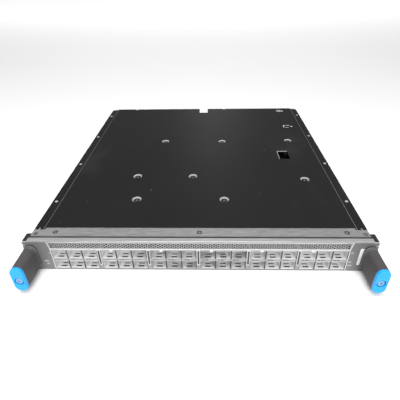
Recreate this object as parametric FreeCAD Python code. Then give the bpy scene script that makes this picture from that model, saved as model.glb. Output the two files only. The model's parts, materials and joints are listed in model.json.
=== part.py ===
import FreeCAD, Part

import math
import os

# Switch line card: a flat, rack-wide card with 36 pluggable ports on its front edge.
# Millimetres. X runs across the card, +Y from the face to the rear, +Z up.
# The origin is under the middle of the whole card, on the surface that it lies on.
# Shapes are drawn with the face plane at y = 0, and save() moves them to the origin.

V = FreeCAD.Vector
UP = V(0, 0, 1)
REARWARD = V(0, 1, 0)
FORWARD = V(0, -1, 0)

# ---- overall -------------------------------------------------------------------------
BODY_W = 428.0  # across the tray's side walls
FACE_OVERHANG = 6.0  # faceplate past each side wall
BODY_D = 471.6  # face plane to rear edge
CARD_H = 48.0
SHEET = 1.2  # tray steel
COVER_T = 1.0  # cover steel
CLEAR = 0.3  # left between pieces that move or slip in
FIT = 0.05  # radial running fit of pins and screws

# ---- front rails ---------------------------------------------------------------------
RIDGE_D = 7.1
RIDGE_H = 3.4
RIDGE_ROUND = 0.7
GROOVE_W = 3.1
GROOVE_DEEP = 2.6
SHELF_D = 27.9
SHELF_T = 1.6
SHELF_LAP = 6.0  # tongue of the shelf under the cover
LIP_H = 1.5  # ridge's lip over the faceplate
BOTTOM_RAIL_T = 2.0
BOTTOM_RAIL_D = 24.0
BOTTOM_LIP = 1.2
SHOE_D = 15.7
SHOE_INSET = 0.5
GASKET_H = 2.0

# ---- faceplate -----------------------------------------------------------------------
FACE_T = 1.5
OVERLAY_T = 0.4
END_W = 33.2  # dark facing at each end of the face
FIELD_FLARE = 2.0  # the bright field widens by this at its top, each side
FIELD_CHAMFER = 10.0  # height over which it widens
OVERLAY_EDGE = 0.3
FASTENER_R = 2.2
FASTENER_T = 1.3
FASTENER_X = 15.2  # left of a group's middle

# ---- vent grille ---------------------------------------------------------------------
VENT_INSET = 0.8  # vent's end inside the bright field
VENT_DROP = 3.7  # vent's top below the card's top
VENT_RISE = 2.75  # vent's bottom above the port window
VENT_PITCH = 5.6
VENT_STEP = 4.4  # from row to row
VENT_HOLE = 4.3  # corner to corner
GRILLE_T = 0.8
GRILLE_LAP = 0.25

# ---- ports ---------------------------------------------------------------------------
COLUMNS = 3  # in one cage
GROUP_GAP = 5.2  # between the walls of neighbouring cages
PORT_GAP = 1.0  # between the walls of neighbouring ports
PORT_W = 17.4
PORT_H = 12.2
LOWER_PORT_Z = 2.9
CAGE_T = 0.6
CAGE_FRONT = 0.2
CAGE_ROOM = 0.15  # round each cage in the faceplate
CAGE_DEPTH = 50.0
SEAT_DEPTH = 38.0  # port floor to the connector behind it
WINDOW_W = 7.4
WINDOW_D = 7.8
WINDOW_Y = 2.2  # window starts behind the cage's front edge
SOCKET_W = 14.6
SOCKET_H = 8.4
SOCKET_D = 8.0
BAR_W = 4.4
BAR_BOTTOM = 8.7
BAR_TOP = 34.4
BAR_T = 0.6
BAR_SLOT_W = 1.9
BAR_RIM = 1.6

# ---- main board ----------------------------------------------------------------------
BOARD_T = 3.2
BOARD_FRONT = 2.5
BOARD_REAR_GAP = 19.6  # board's rear edge to the card's rear edge
BOARD_EDGE = 5.0  # board to the tray's side walls
STANDOFF_FLATS = 6.0
STANDOFF_PITCH_X = 120.0
STANDOFF_FRONT = 75.0  # first row to the face plane
STANDOFF_REAR = 46.6  # last row to the rear edge
STANDOFF_COLUMNS = 4
STANDOFF_ROWS = 3

# ---- chips, heat sinks and power -----------------------------------------------------
CHIP_W = 48.0
CHIP_T = 3.6
SINK_W = 88.0
SINK_D = 88.0
SINK_BASE = 4.0
SINK_ROOM = 2.5  # between the fins and the cover
SINK_FINS = 9
FIN_T = 1.3
SINK_Y = 225.0
SINK_X = (-136.0, -32.0, 72.0)
BRICK = (58.0, 36.0, 12.5)
BRICK_Y = 365.0
BRICK_X = (-150.0, -66.0, 66.0, 150.0)
RETIMER_W = 17.0
RETIMER_T = 2.4
RETIMER_Y = 118.0

# ---- cover ---------------------------------------------------------------------------
STRIP_W = 12.0  # lowered strip along each side
STRIP_DROP = 1.2
STRIP_SLOPE = 2.0
CORNER_R = 9.0
NOTCH_W = 18.3
NOTCH_D = 25.0
NICK_R = 2.2
NICKS_X = (-157.0, 47.0)
HATCH = (135.5, 153.2, 217.3, 246.8)  # x, x, y, y of the small window
TABS = ((14.6, 7.9), (5.4, 0.8))  # edges of each tab, in from the side wall
TAB_D = 3.6
DIMPLES = (
    (-70.7, 292.1),
    (37.8, 290.8),
    (162.8, 293.4),
    (-101.7, 159.4),
    (-12.6, 159.0),
    (163.1, 149.0),
    (-91.8, 93.1),
    (35.2, 92.6),
)
DIMPLE_R = 8.0
DIMPLE_FLOOR_R = 4.6
DIMPLE_DEEP = 2.6
SIDE_SCREWS = 4  # on each strip
SIDE_SCREW_IN = 5.7  # in from the side wall
SIDE_SCREW_REAR = 42.1  # last screw to the rear edge
SIDE_SCREW_PITCH = 113.7
HEAD_SIDES = 8  # flats that a small screw head is drawn with
SCREW_HEAD_R = 2.4
SCREW_HEAD_T = 0.9
SCREW_SHANK_R = 1.25
SCREW_SHANK_L = 4.0
POST_FLATS = 8.0
RAIL_SCREW_IN = 28.7  # outer screws, in from the side walls
RAIL_SCREW_SHIFT = 1.2  # the row stands a little to the right
RAIL_SCREW_Y = 19.0
RAIL_SCREW_R = 3.2
TRAY_FLANGE = 11.0

# ---- rear connectors -----------------------------------------------------------------
SIGNAL_INNER = 50.0  # innermost connectors each side of the middle
SIGNAL_GAP = 6.0
SIGNAL_W = 38.0
SIGNAL_H = 26.0
SIGNAL_LAP = 11.0  # on the board
SIGNAL_SLOTS = 3
SLOT_W = 7.0
SLOT_H = 19.0
SLOT_DEEP = 8.0
POWER_W = 40.0
POWER_GAP = 8.8  # to the tray's side wall
POWER_SLOTS = 2
REAR_SILL = 8.0
GUIDE_X = 20.5  # guide sockets each side of the rear notch
GUIDE_W = 12.0
GUIDE_L = 30.0
GUIDE_R = 3.5
GUIDE_BORE = 20.0

# ---- levers --------------------------------------------------------------------------
PIVOT_IN = 3.4  # pivot inside the handle's middle line
PIVOT_Y = 15.7
PIVOT_R = 2.5
PIN_HOLE_SIDES = 16
HANDLE_INSET = 0.1  # collar inside the faceplate's end
HANDLE_LOW = 4.9  # grip's lower end
HANDLE_DROP = 6.9  # grip's upper end below the card's top
HANDLE_OUT = 42.0  # cap's face in front of the face plane
GRIP_W = 15.6
STEP = 0.6  # each ring of the collar stands this much prouder
RING_D = 2.4
CORE_W = 12.0
CORE_END = 4.2  # grip's end past the core's end
CORE_CORNER = 2.5
CAP_T = 4.0
CAP_ROUND = 1.2
CAP_HOLE_R = 5.2
HALF_ROUND_FLATS = 8
HUB_R = 6.0
LUG_W = 11.0
CLAW_REACH = 7.9  # outward from the handle's middle line
CLAW_Y = 9.4
CLAW_T = 5.0
CAPTIVE_DROP = 2.0  # captive screw below the handle's middle
CAPTIVE_R = 2.0
CAPTIVE_HEAD_R = 4.2
CAPTIVE_HEAD_T = 2.6
CAPTIVE_TRAVEL = 5.0
CAPTIVE_SUNK = 0.6  # head below the cap's face when backed off
BRACKET_T = 2.5
ANCHOR_H = 12.0
ANCHOR_D = 6.8
ANCHOR_REACH = 3.9  # outward from the handle's middle line

# ---- worked out from the above -------------------------------------------------------
FACE_W = BODY_W + 2 * FACE_OVERHANG
FIELD_W = FACE_W - 2 * END_W
VENT_W = FIELD_W - 2 * VENT_INSET
HANDLE_X = FACE_W / 2 - HANDLE_INSET - STEP - GRIP_W / 2
PIVOT_X = HANDLE_X - PIVOT_IN
PORT_PITCH = PORT_W + 2 * CAGE_T + PORT_GAP
GROUP_W = (COLUMNS - 1) * PORT_PITCH + PORT_W
GROUP_PITCH = GROUP_W + 2 * CAGE_T + GROUP_GAP
GROUPS = int((FIELD_W + GROUP_PITCH - GROUP_W) / GROUP_PITCH)
PORTS_HALF = ((GROUPS - 1) * GROUP_PITCH + GROUP_W) / 2 + CAGE_T + CAGE_ROOM
SIGNAL_PITCH = SIGNAL_W + SIGNAL_GAP
POWER_X = BODY_W / 2 - SHEET - POWER_GAP - POWER_W / 2
RAIL_SCREW_X = BODY_W / 2 - RAIL_SCREW_IN
SIDE_SCREW_X = BODY_W / 2 - SIDE_SCREW_IN
SHELF_Z = CARD_H - COVER_T
STRIP_Z = CARD_H - STRIP_DROP
FLANGE_Z = STRIP_Z - COVER_T
RAIL_HALF = BODY_W / 2 - CLEAR
RAIL_UNDER = CARD_H - RIDGE_H
FACE_TOP = CARD_H - LIP_H
BOARD_Z = LOWER_PORT_Z + PORT_H + CAGE_T
BOARD_TOP = BOARD_Z + BOARD_T
UPPER_PORT_Z = BOARD_TOP + CAGE_T
PORTS_LOW = LOWER_PORT_Z - CAGE_T - CAGE_ROOM
PORTS_HIGH = UPPER_PORT_Z + PORT_H + CAGE_T + CAGE_ROOM
VENT_TOP = CARD_H - VENT_DROP
VENT_LOW = PORTS_HIGH + VENT_RISE
VENT_Z = (VENT_LOW + VENT_TOP) / 2
VENT_ROWS = int((VENT_TOP - VENT_LOW - VENT_HOLE) / VENT_STEP) + 1
ROW_STRIP_LOW = BOARD_Z + CAGE_ROOM
ROW_STRIP_HIGH = BOARD_TOP - CAGE_ROOM
BOARD_REAR = BODY_D - BOARD_REAR_GAP
BOARD_HALF = BODY_W / 2 - SHEET - BOARD_EDGE
GRIP_H = CARD_H - HANDLE_DROP - HANDLE_LOW
HANDLE_Z = HANDLE_LOW + GRIP_H / 2
CAPTIVE_Z = HANDLE_Z - CAPTIVE_DROP
LUG_H = CAPTIVE_Z - ANCHOR_H / 2 - CLEAR - HANDLE_LOW  # lugs end short of the anchor
LEVER_LOW = HANDLE_Z - GRIP_H / 2 - STEP - CLEAR
LEVER_TOP = HANDLE_Z + GRIP_H / 2 + STEP + CLEAR
POCKET_X = PIVOT_X - HUB_R - CLEAR  # inner side of the lever's pocket
RING_BACK = -(OVERLAY_T + CLEAR)
GRIP_FRONT = -(HANDLE_OUT - CAP_T)
GRIP_BACK = RING_BACK - 2 * RING_D
HEAD_FRONT = -(HANDLE_OUT - CAPTIVE_SUNK)
HEAD_BACK = HEAD_FRONT + CAPTIVE_HEAD_T
FRAME_Y = (BODY_D - HANDLE_OUT) / 2  # middle of the whole card's depth


def box(x0, x1, y0, y1, z0, z1):
    return Part.makeBox(x1 - x0, y1 - y0, z1 - z0, V(x0, y0, z0))


def rod(x, y, z, radius, length, way):
    return Part.makeCylinder(radius, length, V(x, y, z), way)


def drum(x, y, z, radius, length, way, sides=12):
    """A small round part drawn with a few flat sides, for what repeats many times."""
    corners = []
    for k in range(sides):
        turn = 2 * math.pi * (k + 0.5) / sides
        corners.append(V(radius * math.cos(turn), radius * math.sin(turn), 0))
    piece = flat(corners).extrude(V(0, 0, length))
    piece.Placement = FreeCAD.Placement(V(x, y, z), FreeCAD.Rotation(V(0, 0, 1), way))
    return piece


def cone(x, y, z0, z1, radius_0, radius_1, sides=10):
    """A tapered plug with a few flat sides, between two levels."""
    rings = []
    for z, radius in ((z0, radius_0), (z1, radius_1)):
        corners = []
        for k in range(sides):
            turn = 2 * math.pi * k / sides
            corners.append(V(x + radius * math.cos(turn), y + radius * math.sin(turn), z))
        rings.append(Part.makePolygon(corners + corners[:1]))
    return Part.makeLoft(rings, True, True)


def flat(points):
    """A face inside a closed outline of corners."""
    return Part.Face(Part.makePolygon(points + points[:1]))


def along_x(section, x0, x1):
    """A (y, z) section drawn out from x0 to x1."""
    return flat([V(x0, y, z) for y, z in section]).extrude(V(x1 - x0, 0, 0))


def along_y(section, y0, y1):
    """An (x, z) section drawn out from y0 to y1."""
    return flat([V(x, y0, z) for x, z in section]).extrude(V(0, y1 - y0, 0))


def along_z(section, z0, z1):
    """An (x, y) outline drawn out from z0 to z1."""
    return flat([V(x, y, z0) for x, y in section]).extrude(V(0, 0, z1 - z0))


def hexagon(x, y, flats):
    """Corners of an upright hexagon about (x, y)."""
    radius = flats / math.sqrt(3)
    angles = [math.radians(60 * k + 30) for k in range(6)]
    return [(x + radius * math.cos(a), y + radius * math.sin(a)) for a in angles]


def capsule(x, z, width, height, y0, y1):
    """An upright bar with half-round ends of a few flats, drawn out from y0 to y1."""
    r = width / 2
    rise = height / 2 - r
    upper = []
    for k in range(HALF_ROUND_FLATS + 1):
        turn = math.pi * k / HALF_ROUND_FLATS
        upper.append((r * math.cos(turn), rise + r * math.sin(turn)))
    outline = upper + [(-a, -b) for a, b in upper]
    return along_y([(x + a, z + b) for a, b in outline], y0, y1)


def mirrored(shape):
    return shape.mirror(V(0, 0, 0), V(1, 0, 0))


def fuse(shapes):
    return shapes[0].multiFuse(shapes[1:]).removeSplitter()


def save(name, shapes):
    """Write one node: a single solid, or a group of separate like solids."""
    placed = []
    for shape in shapes:
        for solid in shape.Solids:
            moved = solid.copy()
            moved.translate(V(0, -FRAME_Y, 0))
            placed.append(moved)
    body = placed[0] if len(placed) == 1 else Part.makeCompound(placed)
    body.exportStep("parts/" + name + ".step")


def group_centres():
    return [(n - (GROUPS - 1) / 2) * GROUP_PITCH for n in range(GROUPS)]


def column_centres(group_x):
    return [group_x + (n - (COLUMNS - 1) / 2) * PORT_PITCH for n in range(COLUMNS)]


def rail_screw_centres():
    return [RAIL_SCREW_SHIFT + side * RAIL_SCREW_X for side in (-1, 0, 1)]


def tab_edges(side, room=0):
    """Left and right edges of the cover's two tabs on one side, with room around them."""
    half = BODY_W / 2
    return [sorted((side * (half - a - room), side * (half - b + room))) for a, b in TABS]


def pin_holes(z0):
    """Holes of a few flats that clear the two round pivot pins, upward from a level."""
    radius = (PIVOT_R + FIT) / math.cos(math.pi / PIN_HOLE_SIDES)
    return [drum(side * PIVOT_X, PIVOT_Y, z0, radius, CARD_H, UP, PIN_HOLE_SIDES) for side in (-1, 1)]


# ---- front rails ---------------------------------------------------------------------
def top_rail():
    tongue = SHELF_D + SHELF_LAP
    inner = RIDGE_D + GROOVE_W + SHELF_T
    groove_z = CARD_H - GROOVE_DEEP
    section = [
        (0, FACE_TOP),
        (0, CARD_H),
        (RIDGE_D, CARD_H),
        (RIDGE_D, groove_z),
        (RIDGE_D + GROOVE_W, groove_z),
        (RIDGE_D + GROOVE_W, SHELF_Z),
        (tongue, SHELF_Z),
        (tongue, SHELF_Z - SHELF_T),
        (inner, SHELF_Z - SHELF_T),
        (inner, RAIL_UNDER),
        (FACE_T, RAIL_UNDER),
        (FACE_T, FACE_TOP),
    ]
    rail = along_x(section, -RAIL_HALF, RAIL_HALF)
    crest = [
        e
        for e in rail.Edges
        if e.BoundBox.XLength > RAIL_HALF and e.BoundBox.ZMin > CARD_H - 0.01
    ]
    rail = rail.makeFillet(RIDGE_ROUND, crest)
    cuts = pin_holes(RAIL_UNDER - 1)
    for side in (-1, 1):
        ends = sorted((side * (BODY_W / 2 - TABS[0][0] - CLEAR), side * BODY_W / 2))
        cuts.append(box(ends[0], ends[1], SHELF_D - CLEAR, tongue + 1, RAIL_UNDER, CARD_H))
        for x0, x1 in tab_edges(side, CLEAR):
            cuts.append(box(x0, x1, SHELF_D - TAB_D - CLEAR, SHELF_D, RAIL_UNDER, CARD_H))
    for x in rail_screw_centres():
        cuts.append(drum(x, RAIL_SCREW_Y, SHELF_Z - SCREW_HEAD_T, RAIL_SCREW_R + CLEAR, CARD_H, UP))
    save("top_front_rail", [rail.cut(cuts)])


def bottom_rail():
    section = [
        (0, 0),
        (BOTTOM_RAIL_D / 2, 0),
        (BOTTOM_RAIL_D / 2, SHEET),
        (BOTTOM_RAIL_D, SHEET),
        (BOTTOM_RAIL_D, BOTTOM_RAIL_T),
        (FACE_T, BOTTOM_RAIL_T),
        (FACE_T, BOTTOM_LIP),
        (0, BOTTOM_LIP),
    ]
    rail = along_x(section, -RAIL_HALF, RAIL_HALF)
    save("bottom_front_rail", [rail.cut(pin_holes(0))])


def end_shoes():
    """Black glide shoes that close the ends of both rails behind the faceplate."""
    shoes = []
    outer = FACE_W / 2 - SHOE_INSET
    for z0, z1 in ((RAIL_UNDER, CARD_H - SHOE_INSET), (0, BOTTOM_RAIL_T)):
        shoe = box(RAIL_HALF, outer, FACE_T, SHOE_D, z0, z1)
        corner = [
            e
            for e in shoe.Edges
            if e.BoundBox.ZLength > 1 and e.BoundBox.XMin > outer - 0.01
            and e.BoundBox.YMin > SHOE_D - 0.01
        ]
        shoe = shoe.makeChamfer(1.0, corner)
        shoes += [shoe, mirrored(shoe)]
    save("rail_end_shoes", shoes)


def gasket():
    """A D-shaped conductive foam strip in the top rail's groove."""
    z0 = CARD_H - GROOVE_DEEP
    y0 = RIDGE_D
    y1 = RIDGE_D + GROOVE_W
    half = RAIL_HALF - SHOE_INSET
    low = GASKET_H / 2
    edges = [
        Part.makeLine(V(-half, y0, z0), V(-half, y1, z0)),
        Part.makeLine(V(-half, y1, z0), V(-half, y1, z0 + low)),
        Part.Arc(
            V(-half, y1, z0 + low),
            V(-half, (y0 + y1) / 2, z0 + GASKET_H),
            V(-half, y0, z0 + low),
        ).toShape(),
        Part.makeLine(V(-half, y0, z0 + low), V(-half, y0, z0)),
    ]
    strip = Part.Face(Part.Wire(edges)).extrude(V(2 * half, 0, 0))
    save("emi_gasket", [strip])


def rail_screws():
    screws = []
    for x in rail_screw_centres():
        z0 = SHELF_Z - SCREW_HEAD_T
        screws.append(drum(x, RAIL_SCREW_Y, z0, RAIL_SCREW_R, SCREW_HEAD_T - FIT, UP, HEAD_SIDES))
    save("rail_screws", screws)


# ---- faceplate -----------------------------------------------------------------------
def lever_gap(y0, y1):
    """Side openings of the faceplate that the two levers swing out through."""
    inner = HANDLE_X - LUG_W / 2 - CLEAR
    gap = box(inner, FACE_W, y0, y1, LEVER_LOW, LEVER_TOP)
    return [gap, mirrored(gap)]


def faceplate():
    """Front sheet with a long vent window over one window for both rows of ports.

    It is drawn as four solids that meet face to face: the band that holds the vent
    window, the sill under the ports, and an end panel each side with its lever gap.
    """
    half = FACE_W / 2
    upper = box(-PORTS_HALF, PORTS_HALF, 0, FACE_T, PORTS_HIGH, FACE_TOP)
    vent = box(-VENT_W / 2, VENT_W / 2, -1, FACE_T + 1, VENT_LOW, VENT_TOP)
    sill = box(-PORTS_HALF, PORTS_HALF, 0, FACE_T, BOTTOM_LIP, PORTS_LOW)
    right = box(PORTS_HALF, half, 0, FACE_T, BOTTOM_LIP, FACE_TOP).cut(lever_gap(-1, FACE_T + 1))
    save("faceplate", [upper.cut(vent), sill, right, mirrored(right)])


def port_surround():
    """The strip between the two rows of ports, and the webs between their groups."""
    strip = box(-PORTS_HALF, PORTS_HALF, 0, FACE_T, ROW_STRIP_LOW, ROW_STRIP_HIGH)
    save("port_row_strip", [strip])
    webs = []
    reach = GROUP_W / 2 + CAGE_T + CAGE_ROOM
    centres = group_centres()
    for a, b in zip(centres, centres[1:]):
        webs.append(box(a + reach, b - reach, 0, FACE_T, PORTS_LOW, ROW_STRIP_LOW))
        webs.append(box(a + reach, b - reach, 0, FACE_T, ROW_STRIP_HIGH, PORTS_HIGH))
    save("port_group_webs", webs)


def end_overlays():
    """Grey facings at both ends of the face, cut back at the top of the bright field."""
    inner = FIELD_W / 2
    outer = FACE_W / 2 - OVERLAY_EDGE
    z0 = BOTTOM_LIP + OVERLAY_EDGE
    z1 = FACE_TOP - OVERLAY_EDGE
    outline = [
        (inner, z0),
        (outer, z0),
        (outer, z1),
        (inner + FIELD_FLARE, z1),
        (inner, z1 - FIELD_CHAMFER),
    ]
    right = along_y(outline, -OVERLAY_T, 0).cut(lever_gap(-2, 1))
    save("left_end_overlay", [mirrored(right)])
    save("right_end_overlay", [right])


def vent_grille():
    """Staggered hexagons punched in a thin strip behind the faceplate's long window."""
    half = VENT_W / 2 + GRILLE_LAP
    low = VENT_LOW - GRILLE_LAP
    high = VENT_TOP + GRILLE_LAP
    outline = [(-half, low), (half, low), (half, high), (-half, high)]
    rim = Part.makePolygon([V(x, FACE_T, z) for x, z in outline + outline[:1]])
    wires = [rim]
    corner = hexagon(0, 0, VENT_HOLE * math.sqrt(3) / 2)
    across = int(VENT_W / VENT_PITCH)
    for row in range(VENT_ROWS):
        z = VENT_Z + (row - (VENT_ROWS - 1) / 2) * VENT_STEP
        shift = VENT_PITCH / 2 if row % 2 else 0
        for n in range(across):
            x = (n - across / 2) * VENT_PITCH + VENT_PITCH / 4 + shift
            points = [V(x + a, FACE_T, z + b) for a, b in corner]
            wires.append(Part.makePolygon(points + points[:1]))
    face = Part.Face(wires, "Part::FaceMakerBullseye")
    save("vent_grille", [face.extrude(V(0, GRILLE_T, 0))])


def face_fasteners():
    """Round heads under the vent, over the first column of groups 2 to 6."""
    heads = []
    for x in group_centres()[1:]:
        z = VENT_LOW - FASTENER_R - CLEAR / 2
        heads.append(drum(x - FASTENER_X, 0, z, FASTENER_R, FASTENER_T, FORWARD, HEAD_SIDES))
    save("face_fasteners", heads)


def divider_bars():
    """Slotted bars that stand between neighbouring groups of ports."""
    bars = []
    centres = group_centres()
    for a, b in zip(centres, centres[1:]):
        x = (a + b) / 2
        bar = box(x - BAR_W / 2, x + BAR_W / 2, -BAR_T, 0, BAR_BOTTOM, BAR_TOP)
        slot_half = BAR_SLOT_W / 2
        slot = box(x - slot_half, x + slot_half, -BAR_T - 1, 1, BAR_BOTTOM + BAR_RIM, BAR_TOP - BAR_RIM)
        bars.append(bar.cut(slot))
    save("port_divider_bars", bars)


# ---- ports ---------------------------------------------------------------------------
def cage(name, group_x, port_z):
    """One ganged cage: a lid, a floor with a window, and two walls round every port."""
    y0 = CAGE_FRONT
    y1 = CAGE_FRONT + CAGE_DEPTH
    x0 = group_x - GROUP_W / 2 - CAGE_T
    x1 = group_x + GROUP_W / 2 + CAGE_T
    upper = port_z > BOARD_Z
    lid_end, floor_end = (y1, SEAT_DEPTH) if upper else (SEAT_DEPTH, y1)
    lid = box(x0, x1, y0, lid_end, port_z + PORT_H, port_z + PORT_H + CAGE_T)
    floor = box(x0, x1, y0, floor_end, port_z - CAGE_T, port_z)
    cuts = []
    walls = []
    for x in column_centres(group_x):
        a = y0 + WINDOW_Y
        cuts.append(box(x - WINDOW_W / 2, x + WINDOW_W / 2, a, a + WINDOW_D, port_z - 2, port_z + 1))
        left = x - PORT_W / 2
        right = x + PORT_W / 2
        walls.append(box(left - CAGE_T, left, y0, y1, port_z, port_z + PORT_H))
        walls.append(box(right, right + CAGE_T, y0, y1, port_z, port_z + PORT_H))
    save(name, [lid, floor.cut(cuts)] + walls)


def cages():
    for n, x in enumerate(group_centres()):
        cage("upper_cage_" + str(n + 1), x, UPPER_PORT_Z)
        cage("lower_cage_" + str(n + 1), x, LOWER_PORT_Z)


def port_sockets():
    """Edge sockets at the back of every port, soldered to the board's two faces."""
    upper = []
    lower = []
    y0 = SEAT_DEPTH + CLEAR
    y1 = y0 + SOCKET_D
    for group_x in group_centres():
        for x in column_centres(group_x):
            left = x - SOCKET_W / 2
            right = x + SOCKET_W / 2
            upper.append(box(left, right, y0, y1, BOARD_TOP, BOARD_TOP + SOCKET_H))
            lower.append(box(left, right, y0, y1, BOARD_Z - SOCKET_H, BOARD_Z))
    save("upper_port_sockets", upper)
    save("lower_port_sockets", lower)


# ---- board and what it carries -------------------------------------------------------
def main_board():
    front = POCKET_X - BRACKET_T - CLEAR
    shoulder = SHELF_D + CLEAR
    notch = NOTCH_W / 2 + BOARD_EDGE / 2
    notch_y = BODY_D - NOTCH_D - BOARD_EDGE / 2
    half = [
        (front, BOARD_FRONT),
        (front, shoulder),
        (BOARD_HALF, shoulder),
        (BOARD_HALF, BOARD_REAR),
        (notch, BOARD_REAR),
        (notch, notch_y),
    ]
    outline = half + [(-x, y) for x, y in reversed(half)]
    save("main_board", [along_z(outline, BOARD_Z, BOARD_TOP)])


def standoffs():
    posts = []
    row_pitch = (BODY_D - STANDOFF_REAR - STANDOFF_FRONT) / (STANDOFF_ROWS - 1)
    for column in range(STANDOFF_COLUMNS):
        x = (column - (STANDOFF_COLUMNS - 1) / 2) * STANDOFF_PITCH_X
        for row in range(STANDOFF_ROWS):
            y = STANDOFF_FRONT + row * row_pitch
            posts.append(along_z(hexagon(x, y, STANDOFF_FLATS), SHEET, BOARD_Z))
    save("board_standoffs", posts)
    tall = []
    top = CARD_H - DIMPLE_DEEP - COVER_T
    for x, y in DIMPLES:
        post = along_z(hexagon(x, y, POST_FLATS), BOARD_TOP, top)
        bore = drum(x, y, top - SCREW_SHANK_L, SCREW_SHANK_R + FIT, CARD_H, UP, 6)
        tall.append(post.cut(bore))
    save("cover_posts", tall)


def chips():
    packages = []
    for x in SINK_X:
        half = CHIP_W / 2
        top = BOARD_TOP + CHIP_T
        packages.append(box(x - half, x + half, SINK_Y - half, SINK_Y + half, BOARD_TOP, top))
    save("switch_chips", packages)


def heat_sinks():
    sinks = []
    z0 = BOARD_TOP + CHIP_T
    root = z0 + SINK_BASE
    tip = SHELF_Z - SINK_ROOM
    pitch = (SINK_W - FIN_T) / (SINK_FINS - 1)
    for x in SINK_X:
        left = x - SINK_W / 2
        comb = [(left, z0), (left + SINK_W, z0)]
        for n in reversed(range(SINK_FINS)):
            fin = left + n * pitch
            if n < SINK_FINS - 1:
                comb.append((fin + FIN_T, root))
            comb += [(fin + FIN_T, tip), (fin, tip)]
            if n > 0:
                comb.append((fin, root))
        sinks.append(along_y(comb, SINK_Y - SINK_D / 2, SINK_Y + SINK_D / 2))
    save("heat_sinks", sinks)


def small_modules():
    bricks = []
    for x in BRICK_X:
        bricks.append(
            box(
                x - BRICK[0] / 2,
                x + BRICK[0] / 2,
                BRICK_Y - BRICK[1] / 2,
                BRICK_Y + BRICK[1] / 2,
                BOARD_TOP,
                BOARD_TOP + BRICK[2],
            )
        )
    save("power_modules", bricks)
    retimers = []
    half = RETIMER_W / 2
    top = BOARD_TOP + RETIMER_T
    for x in group_centres():
        retimers.append(box(x - half, x + half, RETIMER_Y - half, RETIMER_Y + half, BOARD_TOP, top))
    save("retimer_chips", retimers)


# ---- tray and cover ------------------------------------------------------------------
def rear_notch(z0, z1):
    return box(-NOTCH_W / 2, NOTCH_W / 2, BODY_D - NOTCH_D, BODY_D + 1, z0, z1)


def tray():
    half = BODY_W / 2
    inner = half - SHEET
    lip = half - TRAY_FLANGE
    right = [
        (half, 0),
        (half, FLANGE_Z),
        (lip, FLANGE_Z),
        (lip, FLANGE_Z - SHEET),
        (inner, FLANGE_Z - SHEET),
        (inner, SHEET),
    ]
    left = [(-x, z) for x, z in reversed(right)]
    channel = along_y(right + left, SHELF_D + CLEAR, BODY_D)
    apron = box(-RAIL_HALF, RAIL_HALF, BOTTOM_RAIL_D / 2, SHELF_D + CLEAR, 0, SHEET)
    sill = box(-inner, inner, BODY_D - SHEET, BODY_D, SHEET, REAR_SILL)
    pan = fuse([channel, apron, sill])
    save("chassis_tray", [pan.cut(rear_notch(-1, CARD_H))])


def dimple_shell(x, y):
    """One pressed dimple: a tapered cup with a flat floor and a screw hole."""
    floor_z = CARD_H - DIMPLE_DEEP
    under = floor_z - COVER_T
    outside = cone(x, y, under, CARD_H, DIMPLE_FLOOR_R + COVER_T, DIMPLE_R + COVER_T)
    inside = cone(x, y, floor_z, CARD_H, DIMPLE_FLOOR_R, DIMPLE_R)
    hole = drum(x, y, under - 1, SCREW_SHANK_R + CLEAR, DIMPLE_DEEP + 2, UP, 6)
    return outside.cut([inside, hole])


def top_cover():
    half = BODY_W / 2
    step = half - STRIP_W
    slope = step - STRIP_SLOPE
    tuck = STRIP_SLOPE * 0.3
    low = STRIP_Z - COVER_T
    right = [
        (slope, CARD_H),
        (step, STRIP_Z),
        (half, STRIP_Z),
        (half, low),
        (step - tuck, low),
        (slope - tuck, CARD_H - COVER_T),
    ]
    left = [(-x, z) for x, z in reversed(right)]
    sheet = along_y(right + left, SHELF_D, BODY_D)
    corners = [
        e
        for e in sheet.Edges
        if e.BoundBox.XLength < 0.01 and e.BoundBox.YLength < 0.01
        and abs(e.BoundBox.XMin) > half - 0.01 and e.BoundBox.YMin > BODY_D - 0.01
    ]
    sheet = sheet.makeFillet(CORNER_R, corners)
    cuts = [rear_notch(0, CARD_H + 1)]
    cuts.append(box(HATCH[0], HATCH[1], HATCH[2], HATCH[3], 0, CARD_H + 1))
    for x in NICKS_X:
        cuts.append(drum(x, BODY_D, CARD_H - 3, NICK_R, 6, UP))
    for x, y in DIMPLES:
        cuts.append(cone(x, y, CARD_H - DIMPLE_DEEP, CARD_H, DIMPLE_FLOOR_R, DIMPLE_R))
    pieces = [sheet.cut(cuts)]
    for x, y in DIMPLES:
        pieces.append(dimple_shell(x, y))
    for side in (-1, 1):
        for x0, x1 in tab_edges(side):
            pieces.append(box(x0, x1, SHELF_D - TAB_D, SHELF_D + 1, low, STRIP_Z))
    save("top_cover", [fuse(pieces)])


def cover_screws():
    side = []
    for x in (-SIDE_SCREW_X, SIDE_SCREW_X):
        for n in range(SIDE_SCREWS):
            y = BODY_D - SIDE_SCREW_REAR - n * SIDE_SCREW_PITCH
            side.append(drum(x, y, STRIP_Z, SCREW_HEAD_R, SCREW_HEAD_T, UP, HEAD_SIDES))
    save("cover_side_screws", side)
    middle = []
    seat = CARD_H - DIMPLE_DEEP
    for x, y in DIMPLES:
        head = drum(x, y, seat, SCREW_HEAD_R, SCREW_HEAD_T, UP, HEAD_SIDES)
        reach = COVER_T + SCREW_SHANK_L - CLEAR
        shank = drum(x, y, seat - reach, SCREW_SHANK_R, reach, UP, 6)
        middle.append(fuse([head, shank]))
    save("cover_dimple_screws", middle)


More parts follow.
